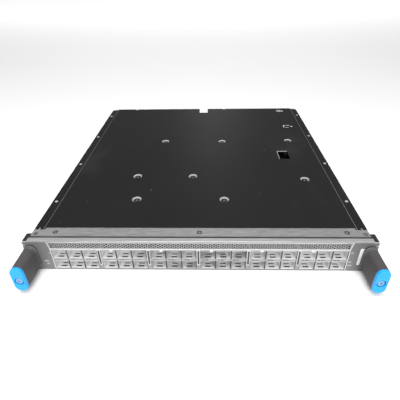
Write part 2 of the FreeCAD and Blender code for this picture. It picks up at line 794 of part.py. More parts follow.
# ---- rear connectors -----------------------------------------------------------------
def connector(x, width, slots):
    """A board-edge connector: stepped over the board, with slots in its rear face."""
    front = BOARD_REAR - SIGNAL_LAP
    back = BODY_D - SHEET - CLEAR
    low = BOARD_TOP - SIGNAL_H / 2
    high = low + SIGNAL_H
    section = [
        (front, BOARD_TOP),
        (BOARD_REAR, BOARD_TOP),
        (BOARD_REAR, low),
        (back, low),
        (back, high),
        (front + SLOT_W, high),
        (front, high - SLOT_W),
    ]
    block = along_x(section, x - width / 2, x + width / 2)
    mid = low + SIGNAL_H / 2
    pitch = width / slots
    cuts = []
    for n in range(slots):
        centre = x + (n - (slots - 1) / 2) * pitch
        left = centre - SLOT_W / 2
        right = centre + SLOT_W / 2
        cuts.append(box(left, right, back - SLOT_DEEP, back + 1, mid - SLOT_H / 2, mid + SLOT_H / 2))
    return block.cut(cuts)


def connector_bank(side, limit):
    """Middles of the signal connectors from the innermost outward, as far as a limit."""
    count = int((limit - SIGNAL_INNER - SIGNAL_W / 2) / SIGNAL_PITCH) + 1
    return [side * (SIGNAL_INNER + n * SIGNAL_PITCH) for n in range(count)]


def rear_connectors():
    left = connector_bank(-1, BODY_W / 2 - SHEET - SIGNAL_GAP)
    right = connector_bank(1, POWER_X - POWER_W / 2 - CLEAR)
    save("rear_signal_connectors", [connector(x, SIGNAL_W, SIGNAL_SLOTS) for x in left + right])
    save("rear_power_connector", [connector(POWER_X, POWER_W, POWER_SLOTS)])


def guide_sockets():
    sockets = []
    z1 = BOARD_TOP + GUIDE_W
    back = BODY_D - SHEET - CLEAR
    for x in (-GUIDE_X, GUIDE_X):
        block = box(x - GUIDE_W / 2, x + GUIDE_W / 2, back - GUIDE_L, back, BOARD_TOP, z1)
        bore = rod(x, back + 1, BOARD_TOP + GUIDE_W / 2, GUIDE_R, GUIDE_BORE + 1, FORWARD)
        sockets.append(block.cut(bore))
    save("rear_guide_sockets", sockets)


# ---- ejector levers (the right one is drawn, the left one is its mirror) ---------------
def core_bar(y0, y1):
    """The lever's flat core, with its corners cut off, that the grip slides over."""
    half = CORE_W / 2
    rise = GRIP_H / 2 - CORE_END
    quarter = [(half, rise - CORE_CORNER), (half - CORE_CORNER, rise)]
    upper = quarter + [(-x, z) for x, z in reversed(quarter)]
    outline = upper + [(-x, -z) for x, z in upper]
    return along_y([(HANDLE_X + x, HANDLE_Z + z) for x, z in outline], y0, y1)


def lever():
    """Collar, core and two pivot lugs with claws, cast as one piece."""
    base_y = RING_BACK - RING_D
    base = capsule(HANDLE_X, HANDLE_Z, GRIP_W + 2 * STEP, GRIP_H + 2 * STEP, base_y, RING_BACK)
    ring = capsule(HANDLE_X, HANDLE_Z, GRIP_W + STEP, GRIP_H + STEP, GRIP_BACK, base_y)
    core = core_bar(GRIP_FRONT, GRIP_BACK)
    pieces = [base, ring, core]
    low = HANDLE_Z - GRIP_H / 2
    high = HANDLE_Z + GRIP_H / 2
    left = HANDLE_X - LUG_W / 2
    right = HANDLE_X + LUG_W / 2
    arm = [
        (left, RING_BACK),
        (right, RING_BACK),
        (right, CLAW_Y),
        (PIVOT_X + HUB_R * 0.8, PIVOT_Y),
        (PIVOT_X, PIVOT_Y),
        (left, CLAW_Y),
    ]
    claw_end = HANDLE_X + CLAW_REACH
    claw = [
        (PIVOT_X, CLAW_Y - CLAW_T / 2),
        (claw_end - 1, CLAW_Y - CLAW_T / 2),
        (claw_end, CLAW_Y - CLAW_T / 2 + 1),
        (claw_end, CLAW_Y + CLAW_T / 2),
        (PIVOT_X, CLAW_Y + CLAW_T / 2),
    ]
    for z0 in (low, high - LUG_H):
        pieces.append(along_z(arm, z0, z0 + LUG_H))
        pieces.append(along_z(claw, z0, z0 + LUG_H))
        pieces.append(drum(PIVOT_X, PIVOT_Y, z0, HUB_R, LUG_H, UP, 16))
    head_room = HEAD_BACK + CAPTIVE_TRAVEL + CLEAR - GRIP_FRONT + 1
    cuts = [
        rod(PIVOT_X, PIVOT_Y, 0, PIVOT_R + FIT, CARD_H, UP),
        rod(HANDLE_X, GRIP_FRONT - 1, CAPTIVE_Z, CAPTIVE_R + FIT, HANDLE_OUT, REARWARD),
        drum(HANDLE_X, GRIP_FRONT - 1, CAPTIVE_Z, CAPTIVE_HEAD_R + 2 * CLEAR, head_room, REARWARD),
    ]
    return fuse(pieces).cut(cuts)


def grip():
    outer = capsule(HANDLE_X, HANDLE_Z, GRIP_W, GRIP_H, GRIP_FRONT, GRIP_BACK)
    return outer.cut(core_bar(GRIP_FRONT - 1, GRIP_BACK + 1))


def grip_cap():
    cap = capsule(HANDLE_X, HANDLE_Z, GRIP_W, GRIP_H, -HANDLE_OUT, GRIP_FRONT)
    front = [e for e in cap.Edges if e.BoundBox.YMax < -HANDLE_OUT + 0.01]
    cap = cap.makeChamfer(CAP_ROUND, front)
    return cap.cut(drum(HANDLE_X, -HANDLE_OUT - 1, CAPTIVE_Z, CAP_HOLE_R, CAP_T + 2, REARWARD, 20))


def captive_screw():
    head = drum(HANDLE_X, HEAD_FRONT, CAPTIVE_Z, CAPTIVE_HEAD_R, CAPTIVE_HEAD_T, REARWARD)
    tip = -CLEAR
    shank = rod(HANDLE_X, HEAD_BACK, CAPTIVE_Z, CAPTIVE_R, tip - HEAD_BACK, REARWARD)
    return fuse([head, shank])


def pivot_pin():
    return rod(PIVOT_X, PIVOT_Y, SHEET, PIVOT_R, SHELF_Z - SHEET, UP)


def lever_bracket():
    """Wall beside the lever's pocket, with the anchor that takes the captive screw."""
    wall = box(POCKET_X - BRACKET_T, POCKET_X, FACE_T, SHELF_D, BOTTOM_RAIL_T, RAIL_UNDER)
    z0 = CAPTIVE_Z - ANCHOR_H / 2
    y0 = FACE_T + 2 * CLEAR
    root = POCKET_X - BRACKET_T / 2
    anchor = box(root, HANDLE_X + ANCHOR_REACH, y0, y0 + ANCHOR_D, z0, z0 + ANCHOR_H)
    bore = rod(HANDLE_X, 0, CAPTIVE_Z, CAPTIVE_R + FIT, CAPTIVE_TRAVEL + FACE_T + 1, REARWARD)
    return fuse([wall, anchor]).cut(bore)


def levers():
    makers = {
        "lever": lever,
        "grip": grip,
        "grip_cap": grip_cap,
        "captive_screw": captive_screw,
        "pivot_pin": pivot_pin,
        "lever_bracket": lever_bracket,
    }
    for name, make in makers.items():
        shape = make()
        save("right_" + name, [shape])
        save("left_" + name, [mirrored(shape)])


os.makedirs("parts", exist_ok=True)
top_rail()
bottom_rail()
end_shoes()
gasket()
rail_screws()
faceplate()
port_surround()
end_overlays()
vent_grille()
face_fasteners()
divider_bars()
cages()
port_sockets()
main_board()
standoffs()
chips()
heat_sinks()
small_modules()
tray()
top_cover()
cover_screws()
rear_connectors()
guide_sockets()
levers()
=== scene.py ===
# %% [markdown]
# # A switch line card, dressed for its portrait
# The card itself is already built as exact solids, and this lesson gives it its looks.
# We load those solids as a fixed frame, and never move or reshape one of them.
# A form that wants rounder edges than the solids have is modelled here, over the solid that
# it stands for.

# %% Load the card
import json
import math
from contextlib import contextmanager

import bmesh
import bpy
from mathutils import Matrix, Vector


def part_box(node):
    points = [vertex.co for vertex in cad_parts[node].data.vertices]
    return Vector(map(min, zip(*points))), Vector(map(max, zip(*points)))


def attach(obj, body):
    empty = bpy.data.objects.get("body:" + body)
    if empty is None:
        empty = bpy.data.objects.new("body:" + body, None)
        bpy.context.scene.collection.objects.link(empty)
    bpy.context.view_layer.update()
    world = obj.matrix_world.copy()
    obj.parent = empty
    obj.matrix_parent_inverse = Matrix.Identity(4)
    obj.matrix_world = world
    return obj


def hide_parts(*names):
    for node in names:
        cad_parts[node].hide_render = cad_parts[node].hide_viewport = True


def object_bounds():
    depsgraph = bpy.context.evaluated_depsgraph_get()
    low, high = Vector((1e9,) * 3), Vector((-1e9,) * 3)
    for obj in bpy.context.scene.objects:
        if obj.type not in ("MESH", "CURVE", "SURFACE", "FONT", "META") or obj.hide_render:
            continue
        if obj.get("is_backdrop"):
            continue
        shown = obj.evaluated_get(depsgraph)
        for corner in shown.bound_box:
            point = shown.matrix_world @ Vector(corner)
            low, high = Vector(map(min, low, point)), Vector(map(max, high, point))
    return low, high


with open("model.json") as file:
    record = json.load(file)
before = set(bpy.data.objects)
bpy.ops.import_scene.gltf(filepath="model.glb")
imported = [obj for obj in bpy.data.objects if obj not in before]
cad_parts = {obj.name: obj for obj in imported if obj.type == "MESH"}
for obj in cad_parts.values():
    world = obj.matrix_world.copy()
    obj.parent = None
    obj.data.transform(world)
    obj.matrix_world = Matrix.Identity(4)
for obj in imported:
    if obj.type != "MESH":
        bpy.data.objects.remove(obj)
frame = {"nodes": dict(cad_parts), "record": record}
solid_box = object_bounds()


def mm(length):
    return round(length * 1000, 2)


print("nodes loaded:", len(frame["nodes"]))

# %% [markdown]
# ## Landmarks
# Some nodes hold several like solids, such as a set of screws. We find each of them by walking
# from face to face: faces that share a corner belong to the same solid.

# %% Boxes of the nodes, and of the solids inside a node
def solids_of(node):
    """Lowest and highest corner of every separate solid in a node."""
    mesh = frame["nodes"][node].data
    leader = {}

    def root(key):
        while leader[key] != key:
            leader[key] = leader[leader[key]]
            key = leader[key]
        return key

    keys = [tuple(round(c * 1e6) for c in v.co) for v in mesh.vertices]
    for key in keys:
        leader.setdefault(key, key)
    for face in mesh.polygons:
        first = root(keys[face.vertices[0]])
        for index in face.vertices[1:]:
            leader[root(keys[index])] = first
    groups = {}
    for key, vertex in zip(keys, mesh.vertices):
        groups.setdefault(root(key), []).append(vertex.co)
    boxes = []
    for points in groups.values():
        low = Vector([min(p[i] for p in points) for i in range(3)])
        high = Vector([max(p[i] for p in points) for i in range(3)])
        boxes.append((low, high))
    return sorted(boxes, key=lambda b: (round(b[0].y, 4), b[0].x))


def middle_of(box):
    return (box[0] + box[1]) / 2


def tops(boxes, lift=0.0):
    """Middle of the upper side of each box, lifted a little."""
    return [(*middle_of(box).xy, box[1].z + lift) for box in boxes]


FACE_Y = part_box("faceplate")[0].y
COVER_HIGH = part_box("top_cover")[1]
COVER_TOP = COVER_HIGH.z
dimple_screws = solids_of("cover_dimple_screws")
side_screws = solids_of("cover_side_screws")
print("face plane at y =", mm(FACE_Y), "mm, and", len(dimple_screws), "screws sit in dimples")

# %% [markdown]
# ## The camera
# The card is seen from the front and well above it, a little left of square on.
# A camera at rest looks straight down, so we tip it up to its pitch, turn it to its heading,
# and roll it by the last small angle. The order of these three turns matters.

# %% Set up the camera
EYE = Vector((0.01468, FACE_Y - 0.32146, 0.32794))
PITCH_DOWN = math.radians(34.17)
HEADING_LEFT = math.radians(2.006)
ROLL = math.radians(-1.135)
SENSOR = 36.0
FOCAL = 31.16


def link(thing):
    bpy.context.scene.collection.objects.link(thing)


lens = bpy.data.cameras.new("portrait_camera")
lens.sensor_width = SENSOR
lens.lens = FOCAL
lens.clip_start = 0.01
lens.clip_end = 50.0
camera = bpy.data.objects.new("portrait_camera", lens)
link(camera)
tilt = Matrix.Rotation(math.pi / 2 - PITCH_DOWN, 4, "X")
heading = Matrix.Rotation(HEADING_LEFT, 4, "Z")
roll = Matrix.Rotation(ROLL, 4, "Z")
camera.matrix_world = Matrix.Translation(EYE) @ heading @ tilt @ roll
bpy.context.scene.camera = camera
bpy.context.scene.view_settings.view_transform = "Standard"
print("camera stands", round(EYE.length, 3), "m from the card's origin")

# %% [markdown]
# ## Arithmetic for shaders
# A finish is a small sum: mix this grey with that one where the noise is high.
# Wired by hand, each sum takes several Math nodes. We wrap a socket in a class that knows
# plus, minus and times, and let Python add those nodes.

# %% A socket that can do arithmetic
class Amount:
    """A shader socket that adds, multiplies and compares as a number does."""

    def __init__(self, finish, socket):
        self.finish = finish
        self.socket = socket

    def _math(self, operation, first, second):
        return self.finish.node("ShaderNodeMath", {"operation": operation}, {0: first, 1: second})

    def __add__(self, other):
        return self._math("ADD", self, other)

    def __radd__(self, other):
        return self._math("ADD", other, self)

    def __sub__(self, other):
        return self._math("SUBTRACT", self, other)

    def __rsub__(self, other):
        return self._math("SUBTRACT", other, self)

    def __mul__(self, other):
        return self._math("MULTIPLY", self, other)

    def __rmul__(self, other):
        return self._math("MULTIPLY", other, self)

    def __abs__(self):
        return self._math("ABSOLUTE", self, 0.0)

    def __gt__(self, other):
        return self._math("GREATER_THAN", self, other)


print("sockets can add, subtract, multiply and compare")


# %% A material that takes nodes in one call each
class Finish:
    """One material, with short ways to add nodes and to join them."""

    def __init__(self, name, rough=0.5, metal=0.0):
        self.material = bpy.data.materials.new(name)
        self.material.use_nodes = True
        self.tree = self.material.node_tree
        self.shader = self.tree.nodes["Principled BSDF"]
        self.set("Roughness", rough)
        self.set("Metallic", metal)

    def join(self, value, socket):
        """Links a socket's value to an input, or sets a plain value there."""
        if isinstance(value, Amount):
            self.tree.links.new(value.socket, socket)
        else:
            socket.default_value = value

    def set(self, name, value):
        self.join(value, self.shader.inputs[name])

    def node(self, kind, settings=None, sockets=None, output=0):
        """Adds a node: its settings first, then the values or links of its sockets."""
        made = self.tree.nodes.new(kind)
        for name, setting in (settings or {}).items():
            setattr(made, name, setting)
        for name, value in (sockets or {}).items():
            self.join(value, made.inputs[name])
        return Amount(self, made.outputs[output])

    def place(self, stretch=(1, 1, 1)):
        """The point on the piece, in metres, stretched for a pattern that runs one way."""
        spot = self.node("ShaderNodeTexCoord", output="Object")
        return self.node("ShaderNodeMapping", {}, {"Vector": spot, "Scale": stretch})

    def axis(self, index):
        """One coordinate of that point: 0 across, 1 along the depth, 2 up."""
        spot = self.node("ShaderNodeTexCoord", output="Object")
        return self.node("ShaderNodeSeparateXYZ", {}, {0: spot}, index)

    def noise(self, scale, detail=2.0, rough=0.5, stretch=(1, 1, 1)):
        """Soft random blotches, from 0 to 1."""
        sockets = {
            "Vector": self.place(stretch), "Scale": scale, "Detail": detail, "Roughness": rough}
        return self.node("ShaderNodeTexNoise", {}, sockets)

    def between(self, value, low, high, to_low=0.0, to_high=1.0):
        """Runs smoothly from to_low to to_high while value goes from low to high."""
        sockets = {"Value": value, 1: low, 2: high, 3: to_low, 4: to_high}
        return self.node("ShaderNodeMapRange", {"interpolation_type": "SMOOTHSTEP"}, sockets)

    def under(self, value, low, high):
        """1 while value is under low, and 0 once it is over high."""
        return self.between(value, low, high, 1.0, 0.0)

    def blend(self, mask, dark, light):
        """A colour that goes from dark to light with the mask. A number stands for a grey."""
        dark, light = (tone(c, c, c) if isinstance(c, float) else c for c in (dark, light))
        return self.node("ShaderNodeMix", {"data_type": "RGBA"}, {0: mask, 6: dark, 7: light}, 2)

    def relief(self, height, depth):
        """Small bumps of a real depth in metres."""
        sockets = {"Height": height, "Distance": depth, "Strength": 1.0}
        self.set("Normal", self.node("ShaderNodeBump", {}, sockets))


def tone(red, green, blue):
    return (red, green, blue, 1.0)


print("shader helpers ready")

# %% [markdown]
# ## Selecting and editing
# The tools of edit mode work on what is selected, so each step selects its parts by a rule.

# %% Helpers for edit mode
def select_only(*things):
    bpy.ops.object.select_all(action="DESELECT")
    for thing in things:
        thing.select_set(True)
    bpy.context.view_layer.objects.active = things[0]


@contextmanager
def editing(piece):
    """Edit mode with nothing selected, and back to object mode at the end."""
    select_only(piece)
    bpy.ops.object.mode_set(mode="EDIT")
    bpy.ops.mesh.select_all(action="DESELECT")
    yield
    bpy.ops.object.mode_set(mode="OBJECT")


def pick(piece, want, kind="FACE"):
    """Selects the faces, edges or corners that want accepts, and nothing else."""
    bpy.ops.mesh.select_all(action="DESELECT")
    bpy.ops.mesh.select_mode(type=kind)
    cage = bmesh.from_edit_mesh(piece.data)
    group = {"FACE": cage.faces, "EDGE": cage.edges, "VERT": cage.verts}[kind]
    for part in filter(want, group):
        part.select_set(True)
    bmesh.update_edit_mesh(piece.data)


def pick_all():
    bpy.ops.mesh.select_all(action="SELECT")


def turn(angle, axis):
    bpy.ops.transform.rotate(value=angle, orient_axis=axis, center_override=(0, 0, 0))


def pull(*way):
    """Extrudes what is selected, and moves the new part."""
    bpy.ops.mesh.extrude_region_move(TRANSFORM_OT_translate={"value": way})


def named(name):
    piece = bpy.context.active_object
    piece.name = name
    piece.data.name = name
    return piece


def joined(pieces):
    select_only(*pieces)
    bpy.ops.object.join()
    return bpy.context.active_object


print("edit helpers ready")

# %% [markdown]
# ## The floor and the light
# A pale floor and wide, soft lamps give a calm product view.
# The floor's far edge is pulled up into a slope, so that no hard edge shows behind the card.
# The card is nearly black on top and bright in front, so the front gets a lamp of its own.

# %% Lay the floor
bpy.ops.object.select_all(action="DESELECT")
bpy.ops.mesh.primitive_plane_add(size=14, location=(0, 2, -0.0002))
floor = named("studio_floor")
with editing(floor):
    pick(floor, lambda e: all(v.co.y > 6.9 for v in e.verts), "EDGE")
    pull(0, 1.5, 2.5)
select_only(floor)
bpy.ops.object.transform_apply(location=True, rotation=True, scale=True)
paper = Finish("pale_studio_paper", 0.9)
paper.set("Base Color", paper.blend(paper.noise(3), 0.85, 0.88))
# The floor glows more the farther it lies from the card: painted light that whitens the far floor
# while the shadow by the card stays.
depth = paper.axis(1)
far = paper.between(depth, 0.3, 3.0) * paper.under(depth, 4.8, 6.0)
paper.set("Emission Color", paper.blend(far, 0.04, 0.7))
paper.set("Emission Strength", 1.0)
floor.data.materials.append(paper.material)
floor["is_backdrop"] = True
print("floor reaches back to y =", round(max(v.co.y for v in floor.data.vertices), 2))


# %% Hang the lamps
def lamp(name, place, aim, size, power):
    light = bpy.data.lights.new(name, "AREA")
    light.shape = "RECTANGLE"
    light.size = size[0]
    light.size_y = size[1]
    light.energy = power
    holder = bpy.data.objects.new(name, light)
    link(holder)
    holder.location = place
    holder.rotation_euler = (Vector(aim) - Vector(place)).to_track_quat("-Z", "Y").to_euler()


lamp("overhead_softbox", (-0.1, -0.35, 2.1), (0, 0, 0), (1.8, 1.2), 36)
lamp("front_softbox", (0.2, -2.3, 1.45), (0, -0.2, 0), (1.6, 1.0), 60)
lamp("rear_softbox", (0.05, 3.0, 1.25), (0, 0.2, 0), (0.35, 0.3), 3)

world = bpy.data.worlds.new("studio_air")
bpy.context.scene.world = world
world.use_nodes = True
sky = world.node_tree.nodes["Background"]
sky.inputs["Color"].default_value = (1, 1, 1, 1)
sky.inputs["Strength"].default_value = 0.27

# %% [markdown]
# ## Finishes
# The record names one material slot for every node, such as cover_black or cage_steel.
# We make one finish for each slot.
# Plain colours look like plastic toys, so each finish has the marks of how it was made:
# sprayed paint has a fine orange peel, rolled sheet has long streaks, moulded parts are grained.
# A function makes each kind, since many slots differ in tone and grain only.

# %% Moulded plastic and other grained skins
def moulded(name, low, high, rough, grain=900.0, shine=0.5):
    """Moulded plastic: a fine grain, and a little lighter where it is worn."""
    plastic = Finish(name)
    plastic.set("Specular IOR Level", shine)
    pits = plastic.noise(grain, 2)
    slow = plastic.noise(30, 3)
    plastic.set("Base Color", plastic.blend(slow, low, high))
    plastic.set("Roughness", rough - 0.05 + slow * 0.1)
    plastic.relief(pits, 0.00003)
    return plastic


print("moulded plastic is ready")

# %% [markdown]
# ### Powder coat
# The cover is sprayed satin black. Its long folds and two rims of the hatch get a painted
# highlight, the nicks in its rear edge are bare steel, hands have wiped it near the sides, and a
# few specks of dust lie on it.
# Each mark is a mask that blends one more grey over the paint.

# %% Painted highlights at the hatch, and bare steel at the nicks
FOLD_X = 0.2012
STRIP_EDGE = 0.2128
HATCH_LEFT, HATCH_RIGHT = 0.1355, 0.1532
HATCH_NEAR, HATCH_FAR = FACE_Y + 0.2173, FACE_Y + 0.2468
NICKS = ((-0.157, COVER_HIGH.y), (0.047, COVER_HIGH.y))
NICK_INNER, NICK_OUTER = 0.0034, 0.0050


def hatch_highlights_and_nick_wear(coat):
    """A painted highlight on two rims of the hatch, where the cut edge catches the light, and
    bare steel round each nick in the rear edge.
    """
    x, y = coat.axis(0), coat.axis(1)
    along_hatch = (y > HATCH_NEAR) * (HATCH_FAR - y > 0)
    left_off = abs(x - HATCH_LEFT + 0.0004)
    left_rim = coat.under(left_off, 0.0002, 0.0006) * along_hatch
    over_hatch = (x > HATCH_LEFT - 0.001) * (HATCH_RIGHT - x > 0)
    far_off = abs(y - HATCH_FAR - 0.0005)
    far_rim = coat.under(far_off, 0.0004, 0.0008) * over_hatch
    # The two rims are painted lighter, as painted highlights. The nicks added below are bare
    # steel.
    worn = left_rim + far_rim * 0.8
    for nick in NICKS:
        off = coat.node("ShaderNodeVectorMath", {"operation": "DISTANCE"}, {
            0: coat.place(), 1: (*nick, COVER_TOP)}, 1)
        worn = worn + coat.under(off, NICK_INNER, NICK_OUTER)
    return worn


# Only the nicks are bare steel. The rims at the hatch are painted highlights.
print("bare rims at the hatch and", len(NICKS), "nicks")

# %% Black powder coat of the cover
CUP_WALL = (0.0021, 0.0016, 0.0006, 0.0002)  # a dimple's wall starts and ends this far down


def powder_coat(name="satin_black_powder_coat", shine=0.06, rough=0.42, pressed=0.0):
    """Satin black with a fine peel. Pressed is how light a dimple's wall is painted: a painted
    highlight.
    """
    coat = Finish(name)
    across = abs(coat.axis(0))
    peel = coat.noise(1400, 2)
    cloud = coat.noise(6, 3, 0.55)
    wipes = coat.noise(14, 5, 0.6, (1, 0.4, 1))
    smudge = coat.between(wipes, 0.56, 0.72) * coat.between(across, 0.10, 0.17)
    specks = coat.between(coat.noise(170, 1), 0.80, 0.83)
    # A painted highlight along both folds, broken by streaky noise.
    fold_highlight = coat.under(abs(across - FOLD_X), 0.0002, 0.0006)
    rubbed = fold_highlight * coat.between(coat.noise(50, 4, 0.6, (1, 0.1, 1)), 0.3, 0.5, 0.6, 0.9)
    # The outer edge of each strip is painted near black: painted shade where the cover turns
    # down.
    edge = coat.between(across, STRIP_EDGE, STRIP_EDGE + 0.001)
    base = coat.blend(cloud, 0.0135, 0.019)
    wiped = coat.blend(smudge * 0.35, base, 0.04)
    dotted = coat.blend(specks * 0.7, wiped, 0.3)
    with_fold_highlight = coat.blend(rubbed, dotted, 0.26)
    shaded = coat.blend(edge, with_fold_highlight, 0.001)
    if pressed:
        # A dimple's wall is painted lighter: a painted highlight that the front lamp makes
        # brightest on the far wall.
        depth = COVER_TOP - coat.axis(2)
        below, foot, brow, above = CUP_WALL
        wall = coat.under(depth, foot, below) * coat.between(depth, above, brow)
        shaded = coat.blend(wall, shaded, pressed)
    coat.set("Base Color", coat.blend(hatch_highlights_and_nick_wear(coat), shaded, 0.42))
    coat.set("Roughness", rough - 0.05 + cloud * 0.1 + edge * 0.4)
    coat.set("Specular IOR Level", shine)
    coat.relief(peel, 0.00004)
    return coat


# The light line along x = +-FOLD_X is a painted highlight.
print("powder coat is rubbed along x = +-", FOLD_X)

# %% [markdown]
# ### Metal
# Sheet and bar are rolled or drawn, and that leaves fine streaks along one way. A noise that
# is squeezed across that way gives the streaks, for colour and bump alike.
# Plated metal is only partly metallic here: a full mirror would show the dark room.

# %% Rolled metal
def streaked(sheet, streak, smooth=0.36, more=0.12, depth=0.00003):
    """Roughness and a slight bump that follow the streaks."""
    sheet.set("Roughness", smooth + streak * more)
    sheet.relief(streak, depth)
    return sheet


EVEN = (1, 1, 1)  # a grain with no streaks


def rolled_metal(name, dark, light, rough, metal, way=(1, 30, 30), scale=40.0):
    """Sheet or bar with fine streaks along one axis, and a slow change of tone."""
    sheet = Finish(name, metal=metal)
    streak = sheet.noise(scale, 6, 0.7, way)
    slow = sheet.noise(7, 2)
    tone_of = sheet.between(streak, 0.3, 0.7) * 0.7 + slow * 0.3
    sheet.set("Base Color", sheet.blend(tone_of, dark, light))
    return streaked(sheet, streak, rough - 0.06)


print("rolled metal is ready")

# %% Brushed rails
SEAM_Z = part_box("faceplate")[1].z + 0.0001
SILL_TOP = 0.0020  # top of the bottom rail, seen through the windows in the ports' floors
RIDGE_END = FACE_Y + 0.0072
GROOVE_END = FACE_Y + 0.0101


def front_rail():
    """Brushed along its length: a painted highlight on the ridge in front, painted shade in the
    groove and on the sill seen through the ports, and a dark seam over the faceplate.
    """
    rail = Finish("brushed_rail_metal", metal=0.55)
    streak = rail.noise(45, 7, 0.75, (1, 34, 34))
    scratch = rail.between(rail.noise(90, 3, 0.6, (0.25, 40, 40)), 0.5, 0.7)
    brushed = rail.blend(rail.between(streak, 0.38, 0.62), 0.22, 0.48)
    marked = rail.blend(scratch * 0.5, brushed, 0.55)
    depth, height = rail.axis(1), rail.axis(2)
    # The ridge in front is painted lighter: a painted highlight.
    ridge = rail.under(depth, RIDGE_END - 0.0004, RIDGE_END)
    with_ridge_highlight = rail.blend(ridge * 0.45, marked, 0.62)
    # The top of the bottom rail, seen through the ports' floors, is painted near black: painted
    # shade.
    over_sill = rail.between(height, SILL_TOP - 0.0002, SILL_TOP - 0.0001)
    under_sill = rail.under(height, SILL_TOP + 0.0002, SILL_TOP + 0.0004)
    shaded = rail.blend(over_sill * under_sill, with_ridge_highlight, 0.03)
    front = rail.under(depth, FACE_Y + 0.0002, FACE_Y + 0.0007)
    seam = rail.under(height, SEAM_Z + 0.0006, SEAM_Z + 0.0012) * front * 0.75
    # The groove past the ridge is painted darker, fading out farther back: painted shade.
    groove_shade = rail.between(depth, GROOVE_END, GROOVE_END + 0.0024, 0.5, 0.0)
    off_ridge = rail.under(ridge, 0.4, 0.6)
    rail.set("Base Color", rail.blend(seam + groove_shade * off_ridge, shaded, 0.04))
    return streaked(rail, streak, 0.34, 0.16, 0.00004)


print("seam over the faceplate at z =", mm(SEAM_Z), "mm")

# %% Plated sheet of the cages and of the face
LID_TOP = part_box("upper_cage_1")[1].z
VENT_RIM_HIGH = 0.0453
VENT_RIM_LOW = 0.0349


def cage_sheet():
    """Tin plate: duller on the cages in the middle, and black on top of the lids."""
    tin = Finish("tinned_cage_steel", metal=0.1)
    streak = tin.noise(60, 5, 0.7, (18, 1, 18))
    blotch = tin.between(tin.noise(55, 4, 0.6), 0.42, 0.62)
    dull = tin.between(abs(tin.axis(0)), 0.04, 0.12, 0.42, 0.0)
    plain = tin.blend(tin.between(streak, 0.3, 0.7), 0.66, 0.84)
    dulled = tin.blend(dull * (0.3 + blotch), plain, 0.12)
    lid = tin.between(tin.axis(2), LID_TOP - 0.0003, LID_TOP - 0.0001)
    tin.set("Base Color", tin.blend(lid, dulled, 0.02))
    return streaked(tin, streak)


def face_sheet():
    """Plated sheet of the face, with a painted highlight on its rims over and under the vent."""
    sheet = Finish("bright_face_steel", metal=0.3)
    streak = sheet.noise(40, 6, 0.7, (1, 30, 30))
    height = sheet.axis(2)
    # The rims over and under the vent are painted lighter: painted highlights.
    over = sheet.between(height, VENT_RIM_HIGH, VENT_RIM_HIGH + 0.0005)
    under = sheet.under(abs(height - VENT_RIM_LOW), 0.0004, 0.0009)
    plain = sheet.blend(sheet.between(streak, 0.3, 0.7), 0.25, 0.34)
    sheet.set("Base Color", sheet.blend(over * 0.6 + under, plain, 0.78))
    return streaked(sheet, streak)


print("bright rims at z =", VENT_RIM_LOW, "and", VENT_RIM_HIGH)

# %% [markdown]
# ### End facings and circuit board
# The two end facings carry a printed white line where they meet the bright field.
# The line follows the facing's inner edge, which leans outward near the top.
# We work out how far each point is from that edge, and paint white where it is close.

# %% Grey facings with their white line
FACING_LOW, FACING_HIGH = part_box("right_end_overlay")
FLARE_RISE = 0.010
FLARE_OUT = 0.002
FIELD_EDGE = FACING_LOW.x


def end_facing():
    facing = Finish("grey_end_facing", metal=0.35)
    across = abs(facing.axis(0))
    height = facing.axis(2)
    share = (height - FACING_HIGH.z + FLARE_RISE) * (1 / FLARE_RISE)
    flare = facing.node("ShaderNodeClamp", {}, {0: share}) * FLARE_OUT
    line = facing.under(across - FIELD_EDGE - flare, 0.0005, 0.0008)
    fade = facing.between(across, 0.188, 0.219)
    streak = facing.noise(60, 5, 0.7, (1, 25, 25))
    body = facing.blend(fade, 0.20, 0.14)
    rubbed = facing.blend(facing.between(streak, 0.45, 0.75) * 0.25, body, 0.32)
    facing.set("Base Color", facing.blend(line, rubbed, 0.85))
    return streaked(facing, streak, 0.42, 0.15, 0.00002)


def circuit_board():
    board = Finish("solder_mask_green")
    weave = board.noise(260, 3)
    traces = board.node("ShaderNodeTexBrick", {"offset": 0.5}, {
        "Vector": board.place(), "Scale": 60.0, "Mortar Size": 0.05}, 1)
    base = board.blend(weave, tone(0.006, 0.014, 0.01), tone(0.01, 0.024, 0.015))
    board.set("Base Color", board.blend(traces * 0.3, base, tone(0.02, 0.05, 0.03)))
    board.set("Roughness", 0.3 + weave * 0.15)
    board.relief(traces, 0.00003)
    return board


print("white line keeps to", mm(FIELD_EDGE), "mm from the middle")

# %% [markdown]
# ### Blue caps, and a table of finishes
# The caps are bright mouldings. A deeper blue inside the recess stands for its shade.
# The table then gives each slot its finish, and a few nodes get one of their own.

# %% Blue moulding of the end caps
CAP_LOW, CAP_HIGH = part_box("right_grip_cap")
SCREW_MID = middle_of(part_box("right_captive_screw"))
RECESS_RADIUS = 0.0052


def blue_cap():
    """Bright blue moulding for both handles."""
    cap = Finish("sky_blue_moulding")
    grain = cap.noise(700, 2)
    slow = cap.noise(60, 2)
    x = abs(cap.axis(0)) - SCREW_MID.x
    z = cap.axis(2) - SCREW_MID.z
    off_axis = cap.node("ShaderNodeMath", {"operation": "SQRT"}, {0: x * x + z * z})
    within = cap.under(off_axis, RECESS_RADIUS - 0.0003, RECESS_RADIUS + 0.0004)
    deep = cap.between(cap.axis(1), CAP_LOW.y + 0.0004, CAP_LOW.y + 0.0012)
    skin = cap.blend(slow, tone(0.014, 0.33, 0.86), tone(0.02, 0.38, 0.9))
    cap.set("Base Color", cap.blend(deep * within, skin, tone(0.0, 0.2, 0.75)))
    cap.set("Roughness", 0.28 + slow * 0.1)
    cap.set("Specular IOR Level", 0.3)
    cap.relief(grain, 0.00002)
    return cap


print("the recess of a cap is", mm(2 * RECESS_RADIUS), "mm wide")

